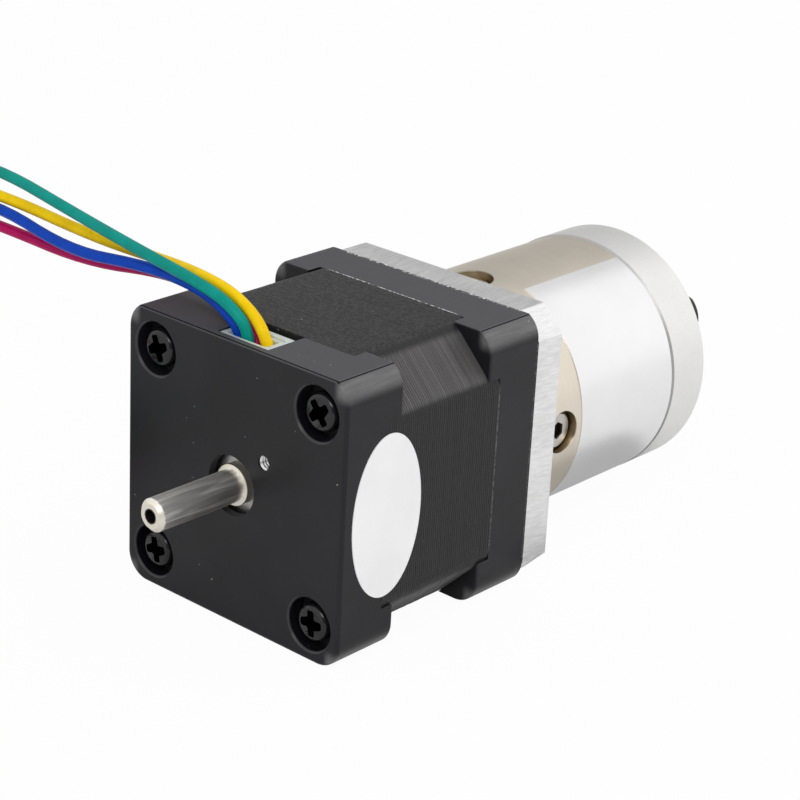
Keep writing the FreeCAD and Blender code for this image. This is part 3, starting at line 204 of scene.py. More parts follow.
# %% One class for shader maths
class Field:
    """A socket of a node tree. Sums and products of fields add Math nodes."""

    def __init__(self, tree, socket=None):
        self.tree = tree
        self.socket = socket

    def node(self, kind, settings=None, inputs=None, out=0):
        """Add a node: its settings first, then the values or links of its sockets."""
        made = self.tree.nodes.new(kind)
        for name, setting in (settings or {}).items():
            setattr(made, name, setting)
        for name, given in (inputs or {}).items():
            socket = made.inputs[name]
            if isinstance(given, Field):
                self.tree.links.new(given.socket, socket)
            elif socket.type == "RGBA":
                socket.default_value = (*given, 1.0)
            else:
                socket.default_value = given
        return Field(self.tree, made.outputs[out] if made.outputs else None)

    def outputs(self, *names):
        """Outputs, by name, of the node that this field comes from."""
        return [Field(self.tree, self.socket.node.outputs[name]) for name in names]

    def maths(self, operation, first, second=0.0):
        return self.node("ShaderNodeMath", {"operation": operation}, {0: first, 1: second})

    def __add__(self, other):
        return self.maths("ADD", self, other)

    def __sub__(self, other):
        return self.maths("SUBTRACT", self, other)

    def __rsub__(self, other):
        return self.maths("SUBTRACT", other, self)

    def __mul__(self, other):
        return self.maths("MULTIPLY", self, other)

    def __truediv__(self, other):
        return self.maths("DIVIDE", self, other)

    def __abs__(self):
        return self.maths("ABSOLUTE", self)

    __radd__ = __add__
    __rmul__ = __mul__

    def root(self):
        return self.maths("SQRT", self)

    def larger(self, other):
        return self.maths("MAXIMUM", self, other)

    def smaller(self, other):
        return self.maths("MINIMUM", self, other)

    def above(self, low, high):
        """0 below low, 1 above high and a smooth step between."""
        return self.node("ShaderNodeMapRange", {"interpolation_type": "SMOOTHSTEP"},
                         {"Value": self, "From Min": low, "From Max": high}, out="Result")

    def below(self, low, high):
        """1 below low, 0 above high and a smooth step between."""
        return 1 - self.above(low, high)

    def between(self, first, second):
        """A colour that goes from first to second as this field goes from 0 to 1."""
        return self.node("ShaderNodeMix", {"data_type": "RGBA"},
                         {"Factor": self, 6: first, 7: second}, out=2)


print("shader maths ready:", [word for word in dir(Field) if not word.startswith("__")])

# %% Surroundings
AMBIENT = 0.74
WHITE = (1.0, 1.0, 1.0)


def shown_white(tree, in_gloss):
    """1 for the rays that show the white background, 0 for the rays that only light the motor."""
    path = Field(tree).node("ShaderNodeLightPath")
    camera_ray, glossy_ray, clear_ray = path.outputs("Is Camera Ray", "Is Glossy Ray", "Is Transmission Ray")
    return camera_ray.larger(glossy_ray * in_gloss).larger(clear_ray)


world = bpy.data.worlds.new("white_tent")
scene.world = world
world.use_nodes = True
world.node_tree.nodes.clear()
sky = Field(world.node_tree)
sky_strength = shown_white(world.node_tree, 1.0) * (1 - AMBIENT) + AMBIENT
sky_light = sky.node("ShaderNodeBackground", {}, {"Color": WHITE, "Strength": sky_strength})
sky.node("ShaderNodeOutputWorld", {}, {"Surface": sky_light})
print("ambient light:", AMBIENT)

# %% A flat card of the studio
def plain_material(name):
    material = bpy.data.materials.new(name)
    material.use_nodes = True
    material.node_tree.nodes.clear()
    return material


def stage_plane(name, width, depth, matrix, material):
    """A floor or card, which is no part of the motor."""
    shape = bmesh.new()
    bmesh.ops.create_grid(shape, x_segments=1, y_segments=1, size=0.5)
    bmesh.ops.scale(shape, vec=(width, depth, 1.0), verts=shape.verts)
    bmesh.ops.transform(shape, matrix=matrix, verts=shape.verts)
    mesh = bpy.data.meshes.new(name)
    shape.to_mesh(mesh)
    shape.free()
    mesh.materials.append(material)
    card = bpy.data.objects.new(name, mesh)
    scene.collection.objects.link(card)
    return card


print("ready to lay the floor")

# %% Floor
FLOOR_SIZE = 6.0
FLOOR_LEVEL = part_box("rear_end_cap")[0].z
FLOOR_GREY = (0.82, 0.82, 0.82)
FLOOR_WHITE = 0.96
# In gloss the floor is mostly matt, so that the lower faces mirror the motor's own shade on it
FLOOR_IN_GLOSS = 0.10


def floor_finish():
    """Matt grey where it lights the motor, and nearly white where it is seen."""
    material = plain_material("white_floor")
    field = Field(material.node_tree)
    matt = field.node("ShaderNodeBsdfDiffuse", {}, {"Color": FLOOR_GREY})
    glow = field.node("ShaderNodeEmission", {}, {"Color": WHITE, "Strength": 1.0})
    whiteness = shown_white(material.node_tree, FLOOR_IN_GLOSS) * FLOOR_WHITE
    seen = field.node("ShaderNodeMixShader", {}, {0: whiteness, 1: matt, 2: glow})
    field.node("ShaderNodeOutputMaterial", {}, {"Surface": seen})
    return material


stage_plane("floor", FLOOR_SIZE, FLOOR_SIZE, Matrix.Translation((0, 0, FLOOR_LEVEL)), floor_finish())
print("floor at", round(FLOOR_LEVEL, 4))

# %% Lamps
MIDDLE = Vector((0, -0.045, 0))
# Each lamp's direction from the motor, its distance, its side, its power, and whether gloss sees it.
# The back lamp is hidden from gloss, because the tent behind it is bright enough there.
LAMPS = {
    "back_right_softbox": ((0.42, 0.70, 0.62), 0.75, 0.55, 0.90, False),
    "front_right_softbox": ((0.48, -0.62, 0.64), 0.80, 0.34, 1.5, True),
}


def facing(aim, away):
    """A place at that distance from the motor's middle, turned to face it."""
    aim = Vector(aim).normalized()
    return Matrix.Translation(MIDDLE + aim * away) @ aim.to_track_quat("Z", "Y").to_matrix().to_4x4()


for lamp_name, (aim, away, size, watts, in_gloss) in LAMPS.items():
    lamp = bpy.data.lights.new(lamp_name, "AREA")
    lamp.shape, lamp.size, lamp.energy = "SQUARE", size, watts
    holder = bpy.data.objects.new(lamp_name, lamp)
    scene.collection.objects.link(holder)
    holder.matrix_world = facing(aim, away)
    holder.visible_glossy = in_gloss
print("lamps:", list(LAMPS))

# %% [markdown]
# Satin paint and bare metal show what stands round them as much as their own colour.
# Lamps could be moved until those reflections fit, but a photographer sets up cards instead. One grey
# card stands where the top faces mirror it, one lies under the gearbox as a painted shadow for the lower
# faces to mirror, and one is the dim room behind the camera. They are there for gloss alone.

# %% Cards that only gloss sees
SHADE_LIFT = 0.0003
# Each card's size, its place and how bright it is
CARDS = {
    "grey_card": ((0.62, 0.50), facing((-0.62, 0.68, 0.36), 0.5), 0.47),
    "gearbox_shade": ((0.044, 0.035), Matrix.Translation((0.002, -0.0165, FLOOR_LEVEL + SHADE_LIFT)), 0.40),
    "dim_room": ((0.50, 0.36), facing((0.64, -0.72, 0.24), 0.6), 0.22),
}
for card_name, (size, place, grey) in CARDS.items():
    card_finish = plain_material(card_name)
    field = Field(card_finish.node_tree)
    glow = field.node("ShaderNodeEmission", {}, {"Color": WHITE, "Strength": grey})
    field.node("ShaderNodeOutputMaterial", {}, {"Surface": glow})
    card = stage_plane(card_name, *size, place, card_finish)
    card.visible_camera = card.visible_diffuse = card.visible_shadow = False
print("cards:", list(CARDS))

# %% [markdown]
# Every finish starts from the same few helpers. Object coordinates are turned into millimetres, so
# that a scale says how many spots or lines there are per millimetre, as one would measure them.
# A finish hands its varying colour, roughness and height to one Principled shader.

# %% Start and end of a finish
# Dead black for painted shade along creases and gaps
PAINTED_SHADE_BLACK = (0.002, 0.002, 0.002)


def new_finish(name):
    """A material and its place on the piece, in millimetres."""
    material = plain_material(name)
    place = Field(material.node_tree).node("ShaderNodeTexCoord", out="Object")
    return material, place.node("ShaderNodeMapping", {}, {"Vector": place, "Scale": (1 / MM,) * 3})


def seal(material, place, inputs, height, depth, strength, painted_shade=None):
    """Join the shader: inputs by socket name, a height times depth in millimetres as bump, and painted
    shade, dead black, where painted_shade is 1."""
    bump = place.node("ShaderNodeBump", {}, {"Height": height, "Strength": strength, "Distance": depth * MM})
    shader = place.node("ShaderNodeBsdfPrincipled", {}, {**inputs, "Normal": bump})
    if painted_shade:
        black = place.node("ShaderNodeBsdfDiffuse", {}, {"Color": PAINTED_SHADE_BLACK})
        shader = place.node("ShaderNodeMixShader", {}, {0: painted_shade, 1: shader, 2: black})
    place.node("ShaderNodeOutputMaterial", {}, {"Surface": shader})
    return material


def dress(material, *names):
    """Give a finish to CAD nodes."""
    for name in names:
        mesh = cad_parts[name].data
        mesh.materials.clear()
        mesh.materials.append(material)


print("ready to dress", len(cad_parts), "nodes")

# %% Patterns for finishes
def axes(place):
    return place.node("ShaderNodeSeparateXYZ", {}, {"Vector": place}).outputs("X", "Y", "Z")


def noise(place, scale, detail=2.0, rough=0.5):
    """Soft spots, so many per millimetre."""
    return place.node("ShaderNodeTexNoise", {}, {"Vector": place, "Scale": scale, "Detail": detail,
                                                 "Roughness": rough})


def stretched(place, scales, turn=(0.0, 0.0, 0.0)):
    """The place turned and then stretched, for marks that run one way."""
    turned = place.node("ShaderNodeMapping", {}, {"Vector": place, "Rotation": turn})
    return place.node("ShaderNodeMapping", {}, {"Vector": turned, "Scale": scales})


def specks(place, scale, size, share):
    """Rare round dots: near a cell's middle, in that share of the cells."""
    cells = place.node("ShaderNodeTexVoronoi", {"feature": "F1"}, {"Vector": place, "Scale": scale})
    distance, lot = cells.outputs("Distance", "Color")
    chosen = place.node("ShaderNodeSeparateColor", {}, {"Color": lot}).above(1 - share, 1.001 - share)
    return distance.below(size * 0.6, size) * chosen


print("patterns:", [pattern.__name__ for pattern in (noise, stretched, specks)])

# %% [markdown]
# The end caps are cast aluminium under satin black paint. The paint has a faint skin of waves, a few
# specks of dust lie on it, the round corners are rubbed to a sheen, and along the seams the paint
# is chipped to bright metal. The flat top meets the corners and the rear face in thin dark lines.
# The wear could be painted by hand; here it follows the edges' known places in the frame, broken
# up by noise, so that it stays on them from every side.

# %% Where the caps' paint is worn, and where shade and sheen are painted on it
# Each seam's station, how wide its chips are, how rare they are, and how far across they run
CHIPPED_SEAMS = [(PLATE_BACK - 0.05, 0.40, 0.52, 15.0), (STACK_FRONT + 0.05, 0.15, 0.47, 10.8),
                 (STACK_BACK + 1.9, 0.15, 0.60, 18.0)]
CHIPS_BELOW_TOP = 0.14
CREASE_ACROSS = 15.96
REAR_CREASE = REAR_FACE + 0.28
SCREW_OFFSET = 13.0
POCKET_RIM = 3.4


def chipped_seams(place, on_top):
    """Chips along the seams, faint on all sides but the top."""
    x, y, z = axes(place)
    outside = abs(x).larger(abs(z)).above(CAP_HALF - 0.3, CAP_HALF - 0.12)
    from_middle = abs(x).smaller(abs(z))
    broken = noise(place, 2.6, detail=4.0, rough=0.75)
    # No chips to begin with
    chips = y * 0.0
    for station, width, rarity, reach in CHIPPED_SEAMS:
        seam = abs(y - station).below(width * 0.4, width) * broken.above(rarity, rarity + 0.05)
        chips = chips.larger(seam * outside * from_middle.below(reach - 1.0, reach))
    return chips * (on_top * (1 - CHIPS_BELOW_TOP) + CHIPS_BELOW_TOP)


def painted_crease_shade(place, on_top):
    """Thin lines of painted shade where the flat top meets the corners and the rear face."""
    x, y, z = axes(place)
    side_lines = abs(abs(x) - CREASE_ACROSS).below(0.06, 0.14) * on_top
    rear_line = abs(y - REAR_CREASE).below(0.10, 0.2) * z.above(CAP_HALF - 0.3, CAP_HALF - 0.2)
    return side_lines.larger(rear_line * abs(x).below(CREASE_ACROSS, CREASE_ACROSS + 0.2))


def pocket_rim_sheen(place):
    """A pale line of painted highlight round the mouth of each screw pocket."""
    x, y, z = axes(place)
    across, rise = abs(x) - SCREW_OFFSET, abs(z) - SCREW_OFFSET
    from_screw = (across * across + rise * rise).root()
    return abs(from_screw - POCKET_RIM).below(0.05, 0.13) * y.below(REAR_FACE + 0.2, REAR_FACE + 0.4)


print("chipped seams at", short([seam[0] for seam in CHIPPED_SEAMS], 2))

# %% Black paint of the caps
PAINT = (0.0052, 0.0050, 0.0070)
PAINT_FADED = (0.0086, 0.0083, 0.0110)
# Painted light: the flat tops are a lighter black than the other faces
PAINT_LIT_TOP = (0.068, 0.066, 0.073)
# A painted sheen on the round corners and round the screw pockets
PAINT_SHEEN = (0.160, 0.156, 0.160)
PAINT_IOR = 1.38
DUST = (0.34, 0.34, 0.35)
BARE_METAL = (0.92, 0.92, 0.91)
CORNER_START = 14.9


def cap_paint():
    material, place = new_finish("cap_black_paint")
    x, y, z = axes(place)
    on_top = z.above(CAP_HALF - 0.2, CAP_HALF - 0.05)
    chipped = chipped_seams(place, on_top)
    # Painted shade along the creases, except where the paint is chipped
    painted_shade = painted_crease_shade(place, on_top) * (1 - chipped) * 0.85
    # Painted sheen: the round corners, streaked along the shaft, and the pocket mouths
    corner = abs(x).above(CREASE_ACROSS - 0.6, CREASE_ACROSS + 0.5)
    corner = corner * abs(z).above(CORNER_START, CORNER_START + 1.6)
    streaks = noise(stretched(place, (2.6, 0.22, 2.6)), 1.0, detail=4.0, rough=0.65).above(0.25, 0.75)
    painted_sheen = (corner * (streaks * 0.3 + 0.7)).larger(pocket_rim_sheen(place) * 0.22)
    dust = specks(place, 0.42, 0.055, 0.20).larger(specks(place, 0.8, 0.07, 0.10))
    colour = noise(place, 0.12, detail=3.0).above(0.3, 0.7).between(PAINT, PAINT_FADED)
    # Painted light on the flat tops
    colour = on_top.between(colour, PAINT_LIT_TOP)
    colour = painted_sheen.between(colour, PAINT_SHEEN)
    colour = (dust * 0.8).between(colour, DUST)
    colour = chipped.between(colour, BARE_METAL)
    rough = noise(place, 0.5, detail=4.0, rough=0.6) * 0.10 + 0.30 + dust * 0.3 + on_top * 0.2
    skin = noise(place, 2.6, detail=3.0) * 0.35 + noise(place, 11.0) * 0.2 + dust * 0.6
    inputs = {"Base Color": colour, "Roughness": rough, "Metallic": chipped * 0.2, "IOR": PAINT_IOR}
    return seal(material, place, inputs, skin, depth=0.008, strength=0.5, painted_shade=painted_shade)


dress(cap_paint(), "rear_end_cap", "front_end_cap")
print("painted the two end caps")

# %% [markdown]
# The stack is made of thin steel sheets, about a third of a millimetre each, under a thin coat of
# black. Lines in a material would look flat at the corners, so the sheets' edges are a real piece: an
# outline with eight bent corners, drawn out sheet by sheet, with a fine groove between sheets and
# a hair of play from sheet to sheet.

# %% Finish of the stack
SHEET_BLACK = (0.0105, 0.0105, 0.0115)
SHEET_WORN = (0.072, 0.070, 0.067)
# A painted sheen on the stack's chamfered corners
SHEET_CORNER_SHEEN = (0.135, 0.130, 0.128)
SHEET_GAP = (0.0035, 0.0035, 0.004)
SHEET_IOR = 1.42
SHEETS = 54
SHEET = (STACK_FRONT - STACK_BACK) / SHEETS
# So far apart in the noise, two sheets have nothing in common
SHEET_LOT = 7.31
STACK_CHAMFER = 5.9
STACK_FLAT = CAP_HALF - STACK_CHAMFER


def stack_finish():
    material, place = new_finish("lamination_black")
    x, y, z = axes(place)
    count = (y - STACK_BACK) / SHEET
    own = place.node("ShaderNodeTexNoise", {"noise_dimensions": "1D"},
                     {"W": count.maths("FLOOR", count) * SHEET_LOT, "Scale": 1.0, "Detail": 0.0})
    grain = noise(stretched(place, (5.0, 1.6, 5.0)), 1.0, detail=3.0, rough=0.7)
    gap = abs(count.maths("FRACT", count) - 0.5).above(0.32, 0.5)
    bright = grain.above(0.48, 0.76) * (1 - gap) * (own * 0.7 + 0.3)
    corner = (abs(x) + abs(z)).above(CAP_HALF + STACK_FLAT - 0.4, CAP_HALF + STACK_FLAT)
    corner = corner * abs(x).above(STACK_FLAT + 0.6, STACK_FLAT + 1.3)
    on_top = z.above(CAP_HALF - 0.4, CAP_HALF - 0.2)
    weave = noise(stretched(place, (2.4, 2.6, 2.4)), 1.0, rough=0.6).above(0.42, 0.62)
    dust = specks(place, 0.6, 0.08, 0.16)
    colour = (bright * 0.6).between(SHEET_BLACK, SHEET_WORN)
    colour = (on_top * weave * 0.45).between(colour, SHEET_WORN)
    # Painted sheen on the chamfered corners
    colour = (corner * (own * 0.6 + 0.35)).between(colour, SHEET_CORNER_SHEEN)
    colour = (gap * (0.6 - on_top * 0.3 + corner * 0.35)).between(colour, SHEET_GAP)
    colour = (dust * 0.7).between(colour, DUST)
    rough = grain * 0.2 + 0.32 + gap * 0.3
    height = grain * 0.8 - gap * 0.6 + on_top * weave * 1.2
    inputs = {"Base Color": colour, "Roughness": rough, "Metallic": bright * 0.4, "IOR": SHEET_IOR}
    return seal(material, place, inputs, height, depth=0.02, strength=0.7)


lamination_black = stack_finish()
dress(lamination_black, "stator_stack")
print("dressed a stack of", SHEETS, "sheets of", round(SHEET, 3), "mm")

# %% Helpers for drawing a new piece
def outline(shape, corners):
    """A closed loop of edges through a few corners."""
    corners = [shape.verts.new(corner) for corner in corners]
    return [shape.edges.new(pair) for pair in zip(corners, corners[1:] + corners[:1])]


def edges_at(corners):
    """The edges that meet at these corners, each once and always in the same order."""
    return list(dict.fromkeys(edge for corner in corners for edge in corner.link_edges))


def soften(shape, edges, offset, segments):
    """Round the corners of an outline and give back its edges."""
    corners = list(dict.fromkeys(corner for edge in edges for corner in edge.verts))
    bmesh.ops.bevel(shape, geom=corners, offset=offset, affect="VERTICES", segments=segments, profile=0.5,
                    material=-1)
    return list(shape.edges)


def draw_out(shape, edges, move=(0, 0, 0), grow=(1, 1, 1), about=(0, 0, 0), turn=None):
    """Extrude a loop of edges, then scale, turn and move the new loop. Gives back its edges."""
    made = bmesh.ops.extrude_edge_only(shape, edges=edges)["geom"]
    fresh = [item for item in made if isinstance(item, bmesh.types.BMVert)]
    bmesh.ops.scale(shape, vec=grow, verts=fresh, space=Matrix.Translation(-Vector(about)))
    if turn:
        bmesh.ops.rotate(shape, cent=about, matrix=turn, verts=fresh)
    bmesh.ops.translate(shape, vec=move, verts=fresh)
    new_corners = set(fresh)
    return [item for item in made
            if isinstance(item, bmesh.types.BMEdge) and new_corners.issuperset(item.verts)]


print("ready to draw pieces in millimetres")

# %% Hand over a finished piece
SMOOTH_BELOW = math.radians(38)
MERGE_WITHIN = 1e-5


def hand_over(shape, name, material, stands_for=None):
    """Close a bmesh drawn in millimetres and hang it on the housing as a finished piece."""
    bmesh.ops.remove_doubles(shape, verts=shape.verts, dist=MERGE_WITHIN)
    bmesh.ops.recalc_face_normals(shape, faces=shape.faces)
    for face in shape.faces:
        face.smooth = True
    for edge in shape.edges:
        edge.smooth = edge.calc_face_angle(0.0) < SMOOTH_BELOW
    bmesh.ops.scale(shape, vec=(MM,) * 3, verts=shape.verts)
    mesh = bpy.data.meshes.new(name)
    shape.to_mesh(mesh)
    shape.free()
    mesh.materials.append(material)
    made = bpy.data.objects.new(name, mesh)
    scene.collection.objects.link(made)
    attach(made, "housing")
    if stands_for:
        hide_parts(stands_for)
    print(name, "faces:", len(mesh.polygons))


print("edges under", round(math.degrees(SMOOTH_BELOW)), "degrees are shaded smooth")

# %% Edges of the sheets
STACK_BEND = 1.2
BEND_SEGMENTS = 4
GROOVE = 0.055
SHEET_PROUD = (0.03, 0.05)
SHEET_SEED = 35


def sheet_edges():
    """A sleeve of sheet edges, a hair proud of the solid stack."""
    shape = bmesh.new()
    corners = []
    for number, (a, b) in enumerate(((1, 1), (1, -1), (-1, -1), (-1, 1))):
        pair = [(a * STACK_FLAT, STACK_BACK, b * CAP_HALF), (a * CAP_HALF, STACK_BACK, b * STACK_FLAT)]
        corners += pair if number % 2 == 0 else pair[::-1]
    loop = soften(shape, outline(shape, corners), STACK_BEND, BEND_SEGMENTS)
    draws = random.Random(SHEET_SEED)
    for number in range(SHEETS):
        proud = 1 + draws.uniform(*SHEET_PROUD) / CAP_HALF
        loop = draw_out(shape, loop, (0, GROOVE, 0), (proud, 1, proud))
        loop = draw_out(shape, loop, (0, SHEET - 2 * GROOVE, 0))
        loop = draw_out(shape, loop, (0, GROOVE, 0), (1 / proud, 1, 1 / proud))
    return shape


hand_over(sheet_edges(), "lamination_edges", lamination_black)

# %% [markdown]
# Metal parts differ by how they were cut. A milled edge has short straight scratches, a bearing has
# fine rings, a blasted flange has an even satin grain, and a ground shaft gets darker streaks along it
# as a painted reflection of the dark bands it mirrors.
# One function draws all of them: it stretches noise along the cut and lets it stir the roughness, the
# tone and a very small height. The pockets of the gear housing are a darker brown.

# %% One function for cut metals
RING_SOFT = 0.06


def tones(colour, spread, most):
    """A darker and a lighter tone of a colour, the lighter one never brighter than most."""
    darker = tuple(part * (1 - spread) for part in colour)
    lighter = tuple(min(most, part * (1 + spread)) for part in colour)
    return darker, lighter


def from_axis(place):
    """The distance from the shaft axis."""
    x, y, z = axes(place)
    return (x * x + z * z).root()


def cut_metal(name, colour, rough, scales, turn=(0.0, 0.0, 0.0), depth=0.004, tone=0.12, stir=0.14,
              reflection_streaks=None, metallic=1.0, rings=(), edge=None):
    """Bare metal with cutting marks: noise squeezed to lines by its scales per millimetre.
    Reflection streaks give their share, their colour and their own scales: darker streaks along the cut,
    a painted reflection. Rings give other colours, each with the least and the largest distance from the
    shaft axis where it shows. An edge is the station of a line of painted shade."""
    material, place = new_finish(name)
    marks = noise(stretched(place, scales, turn), 1.0, detail=4.0, rough=0.62)
    cloud = noise(place, 0.22, detail=3.0)
    shade = (marks * 0.7 + cloud * 0.3).above(0.3, 0.7).between(*tones(colour, tone, 0.97))
    if reflection_streaks:
        share, reflection_colour, reflection_scales = reflection_streaks
        streaks = noise(stretched(place, reflection_scales, turn), 1.0, detail=3.0, rough=0.6)
        shade = (streaks.above(0.46, 0.62) * share).between(shade, reflection_colour)
    for least, largest, ring_colour in rings:
        reach = from_axis(place)
        ring = reach.above(least, least + RING_SOFT) * reach.below(largest - RING_SOFT, largest)
        shade = ring.between(shade, ring_colour)
    gloss = marks * stir + cloud * 0.06 + (rough - stir / 2 - 0.03)
    painted_shade = abs(axes(place)[1] - edge).below(0.16, 0.26) * 0.5 if edge else None
    inputs = {"Base Color": shade, "Roughness": gloss, "Metallic": metallic}
    return seal(material, place, inputs, marks, depth, strength=0.6, painted_shade=painted_shade)


print("ready to cut metal")

# %% Metals of the outside
MILLED = (3.8, 0.12, 3.8)
MILLED_SLANT = (math.radians(6), 0.0, math.radians(-7))
SATIN = (3.4, 3.4, 3.4)
TURNED = (0.2, 5.0, 0.2)
GROUND = (5.0, 0.14, 5.0)
PLATED = (6.0, 6.0, 0.8)
FLANGE_LENGTH = 7.3
# The flange's back edge, where a line of painted shade lies
FLANGE_EDGE = 0.2 - FLANGE_LENGTH
POCKET_BROWN = (0.40, 0.31, 0.19)
POCKET_LIP = 15.9
# Painted shade for the locking screw's socket and the shaft's centre hole
SOCKET_SHADE = (0.10, 0.08, 0.07)
LOCK_SCREW_TOP = span("housing_screws")[1].x
SHAFT_CREAM = (0.86, 0.81, 0.71)
# The shaft's centre hole, dark with painted shade, its chamfered end, and its shoulder in the cap
SHAFT_RINGS = [(0.0, 0.95, SOCKET_SHADE), (0.95, 1.95, SHAFT_CREAM), (2.05, 9.0, SHAFT_CREAM)]
# Painted reflection: darker streaks along the shaft stand in for the dark bands it mirrors
SHAFT_REFLECTION_STREAKS = (0.52, (0.16, 0.15, 0.145), (1.1, 0.07, 1.1))

metals = {
    "milled": cut_metal("milled_aluminium", (0.91, 0.91, 0.905), 0.36, MILLED, MILLED_SLANT, depth=0.03,
                        tone=0.14, stir=0.3),
    "satin": cut_metal("satin_aluminium", (0.88, 0.875, 0.865), 0.46, SATIN, depth=0.003, tone=0.03,
                       stir=0.08, edge=FLANGE_EDGE),
    "champagne": cut_metal("champagne_steel", (0.80, 0.73, 0.625), 0.36, TURNED, depth=0.002, tone=0.04,
                           rings=[(0.0, POCKET_LIP, POCKET_BROWN)]),
    "ground": cut_metal("ground_steel", (0.86, 0.83, 0.79), 0.42, GROUND, depth=0.003, tone=0.15, stir=0.2,
                        reflection_streaks=SHAFT_REFLECTION_STREAKS, rings=SHAFT_RINGS),
    # The socket of the locking screw is dark with painted shade
    "lock_screw": cut_metal("locking_screw_steel", (0.58, 0.56, 0.53), 0.28, PLATED,
                            rings=[(0.0, LOCK_SCREW_TOP - 0.25, SOCKET_SHADE)]),
    "black_oxide": cut_metal("black_oxide", (0.012, 0.012, 0.014), 0.15, (4.0, 4.0, 4.0), depth=0.006,
                             tone=0.3, stir=0.08, metallic=0.2),
    "dark_ground": cut_metal("output_shaft_steel", (0.055, 0.055, 0.058), 0.34, (0.4, 18.0, 0.4),
                             depth=0.003),
    "tinned": cut_metal("tinned_copper", (0.74, 0.73, 0.70), 0.28, (6.0, 6.0, 6.0), depth=0.006),
    "cut_thread": cut_metal("cut_thread", (0.72, 0.72, 0.72), 0.24, (8.0, 8.0, 8.0)),
}
print("metals of the outside:", list(metals))

# %% Metals of the inside
RINGS = (0.15, 14.0, 0.15)
metals |= {
    "gear": cut_metal("hobbed_gear_steel", (0.48, 0.48, 0.49), 0.34, (9.0, 0.5, 9.0)),
    "bearing": cut_metal("ground_bearing_steel", (0.46, 0.455, 0.45), 0.30, RINGS, depth=0.001, tone=0.04,
                         stir=0.06),
    "spring": cut_metal("spring_steel", (0.42, 0.42, 0.44), 0.30, RINGS, depth=0.002),
    "zinc": cut_metal("zinc_plated_screw", (0.63, 0.62, 0.60), 0.30, PLATED),
    "rotor": cut_metal("rotor_sheets", (0.42, 0.42, 0.43), 0.40, (0.4, 4.0, 0.4), depth=0.010),
    "magnet": cut_metal("plated_magnet", (0.34, 0.34, 0.36), 0.38, (3.0, 3.0, 3.0), depth=0.006),
    "copper": cut_metal("enamelled_copper", (0.66, 0.27, 0.10), 0.30, (1.0, 8.0, 8.0), depth=0.05, tone=0.25),
}
print("all metals:", list(metals))

# %% What is made of which metal
planets = [f"{stage}_planet_{number}" for stage in ("first", "second") for number in (1, 2, 3)]
MADE_OF = {
    "milled": ["adapter_plate"],
    "satin": ["front_flange"],
    "champagne": ["ring_gear_housing"],
    "ground": ["rotor_shaft"],
    "dark_ground": ["output_shaft"],
    "lock_screw": ["housing_screws"],
    "black_oxide": ["motor_screws"],
    "zinc": ["adapter_screws"],
    "gear": ["first_sun", "second_sun", "first_carrier", "output_carrier", "first_planet_pins",
             "second_planet_pins", *planets],
    "bearing": [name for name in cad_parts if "bearing" in name and name != "bearing_spacer_ring"],
    "spring": ["preload_washer", "retaining_ring", "thrust_washer", "bearing_spacer_ring"],
    "rotor": ["rotor_core_rear", "rotor_core_front"],
    "magnet": ["rotor_magnet"],
    "copper": ["phase_a_coils", "phase_b_coils"],
    "tinned": ["lead_tips"],
}
for metal, names in MADE_OF.items():
    dress(metals[metal], *names)
print("metal nodes:", sum(len(names) for names in MADE_OF.values()))

# %% [markdown]
# The plastics are simple by comparison: glossy sleeves on the leads, milky nylon at the lead exit,
# white film for the oval label and silver foil round the gearbox. Both labels are bare. Each still has
# a slight unevenness, because a perfectly even colour looks like a drawing.

# %% Plastics and labels
LEAD_COLOURS = {"green": (0.0005, 0.285, 0.235), "yellow": (0.96, 0.62, 0.001), "blue": (0.0005, 0.055, 0.46),
                "red": (0.46, 0.003, 0.105)}


def plastic(name, colour, rough, spread=0.08, spot_scale=0.5, depth=0.004, grain=6.0, **fixed):
    """Moulded or drawn plastic: a slightly uneven tone, gloss and skin."""
    material, place = new_finish(name)
    cloud, skin = noise(place, spot_scale, detail=3.0), noise(place, grain)
    inputs = {word.replace("_", " "): number for word, number in fixed.items()}
    inputs["Base Color"] = cloud.above(0.3, 0.7).between(*tones(colour, spread, 1.0))
    inputs["Roughness"] = skin * 0.1 + (rough - 0.05)
    return seal(material, place, inputs, skin, depth, strength=0.5)


for name, lead in leads.items():
    sleeve = plastic(f"sleeve_{name}", LEAD_COLOURS[name], 0.34, depth=0.003, Specular_IOR_Level=0.12)
    lead.data.materials.append(sleeve)
    dress(sleeve, f"lead_{name}")
dress(leads["red"].data.materials[0], "lead_hank")
milky_nylon = plastic("milky_nylon", (0.60, 0.66, 0.64), 0.30, spot_scale=0.8)
insulator_nylon = plastic("moulded_nylon", (0.74, 0.71, 0.63), 0.42)
tie_nylon = plastic("tie_nylon", (0.018, 0.018, 0.019), 0.36)
oval_film = plastic("bare_white_film", (0.92, 0.92, 0.93), 0.36, spread=0.02, spot_scale=0.15, depth=0.002)
silver_foil = plastic("bare_silver_foil", (0.93, 0.93, 0.94), 0.32, spread=0.02, spot_scale=0.12, depth=0.003,
                      grain=1.2, Metallic=0.9)
dress(milky_nylon, "lead_grommet")
dress(insulator_nylon, "rear_insulator", "front_insulator")
dress(tie_nylon, "lead_tie")
dress(oval_film, "oval_label")
dress(silver_foil, "gearbox_label")
print("undressed nodes:", [name for name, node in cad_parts.items() if len(node.data.materials) != 1])

# %% [markdown]
# Each end cap screw is a pan head with a cross recess. The CAD screw has square slots, and the light
# on a real one runs round soft edges. So the head is drawn again: a cross, bridged to a circle, whose
# rim is then drawn down in steps, while the cross sinks to a narrower floor.

# %% Cap screws
SCREW_TOP, SHANK_END = [corner.y for corner in span("motor_screws")]
HEAD_RADIUS = 2.35
HEAD_SEGMENTS = 36
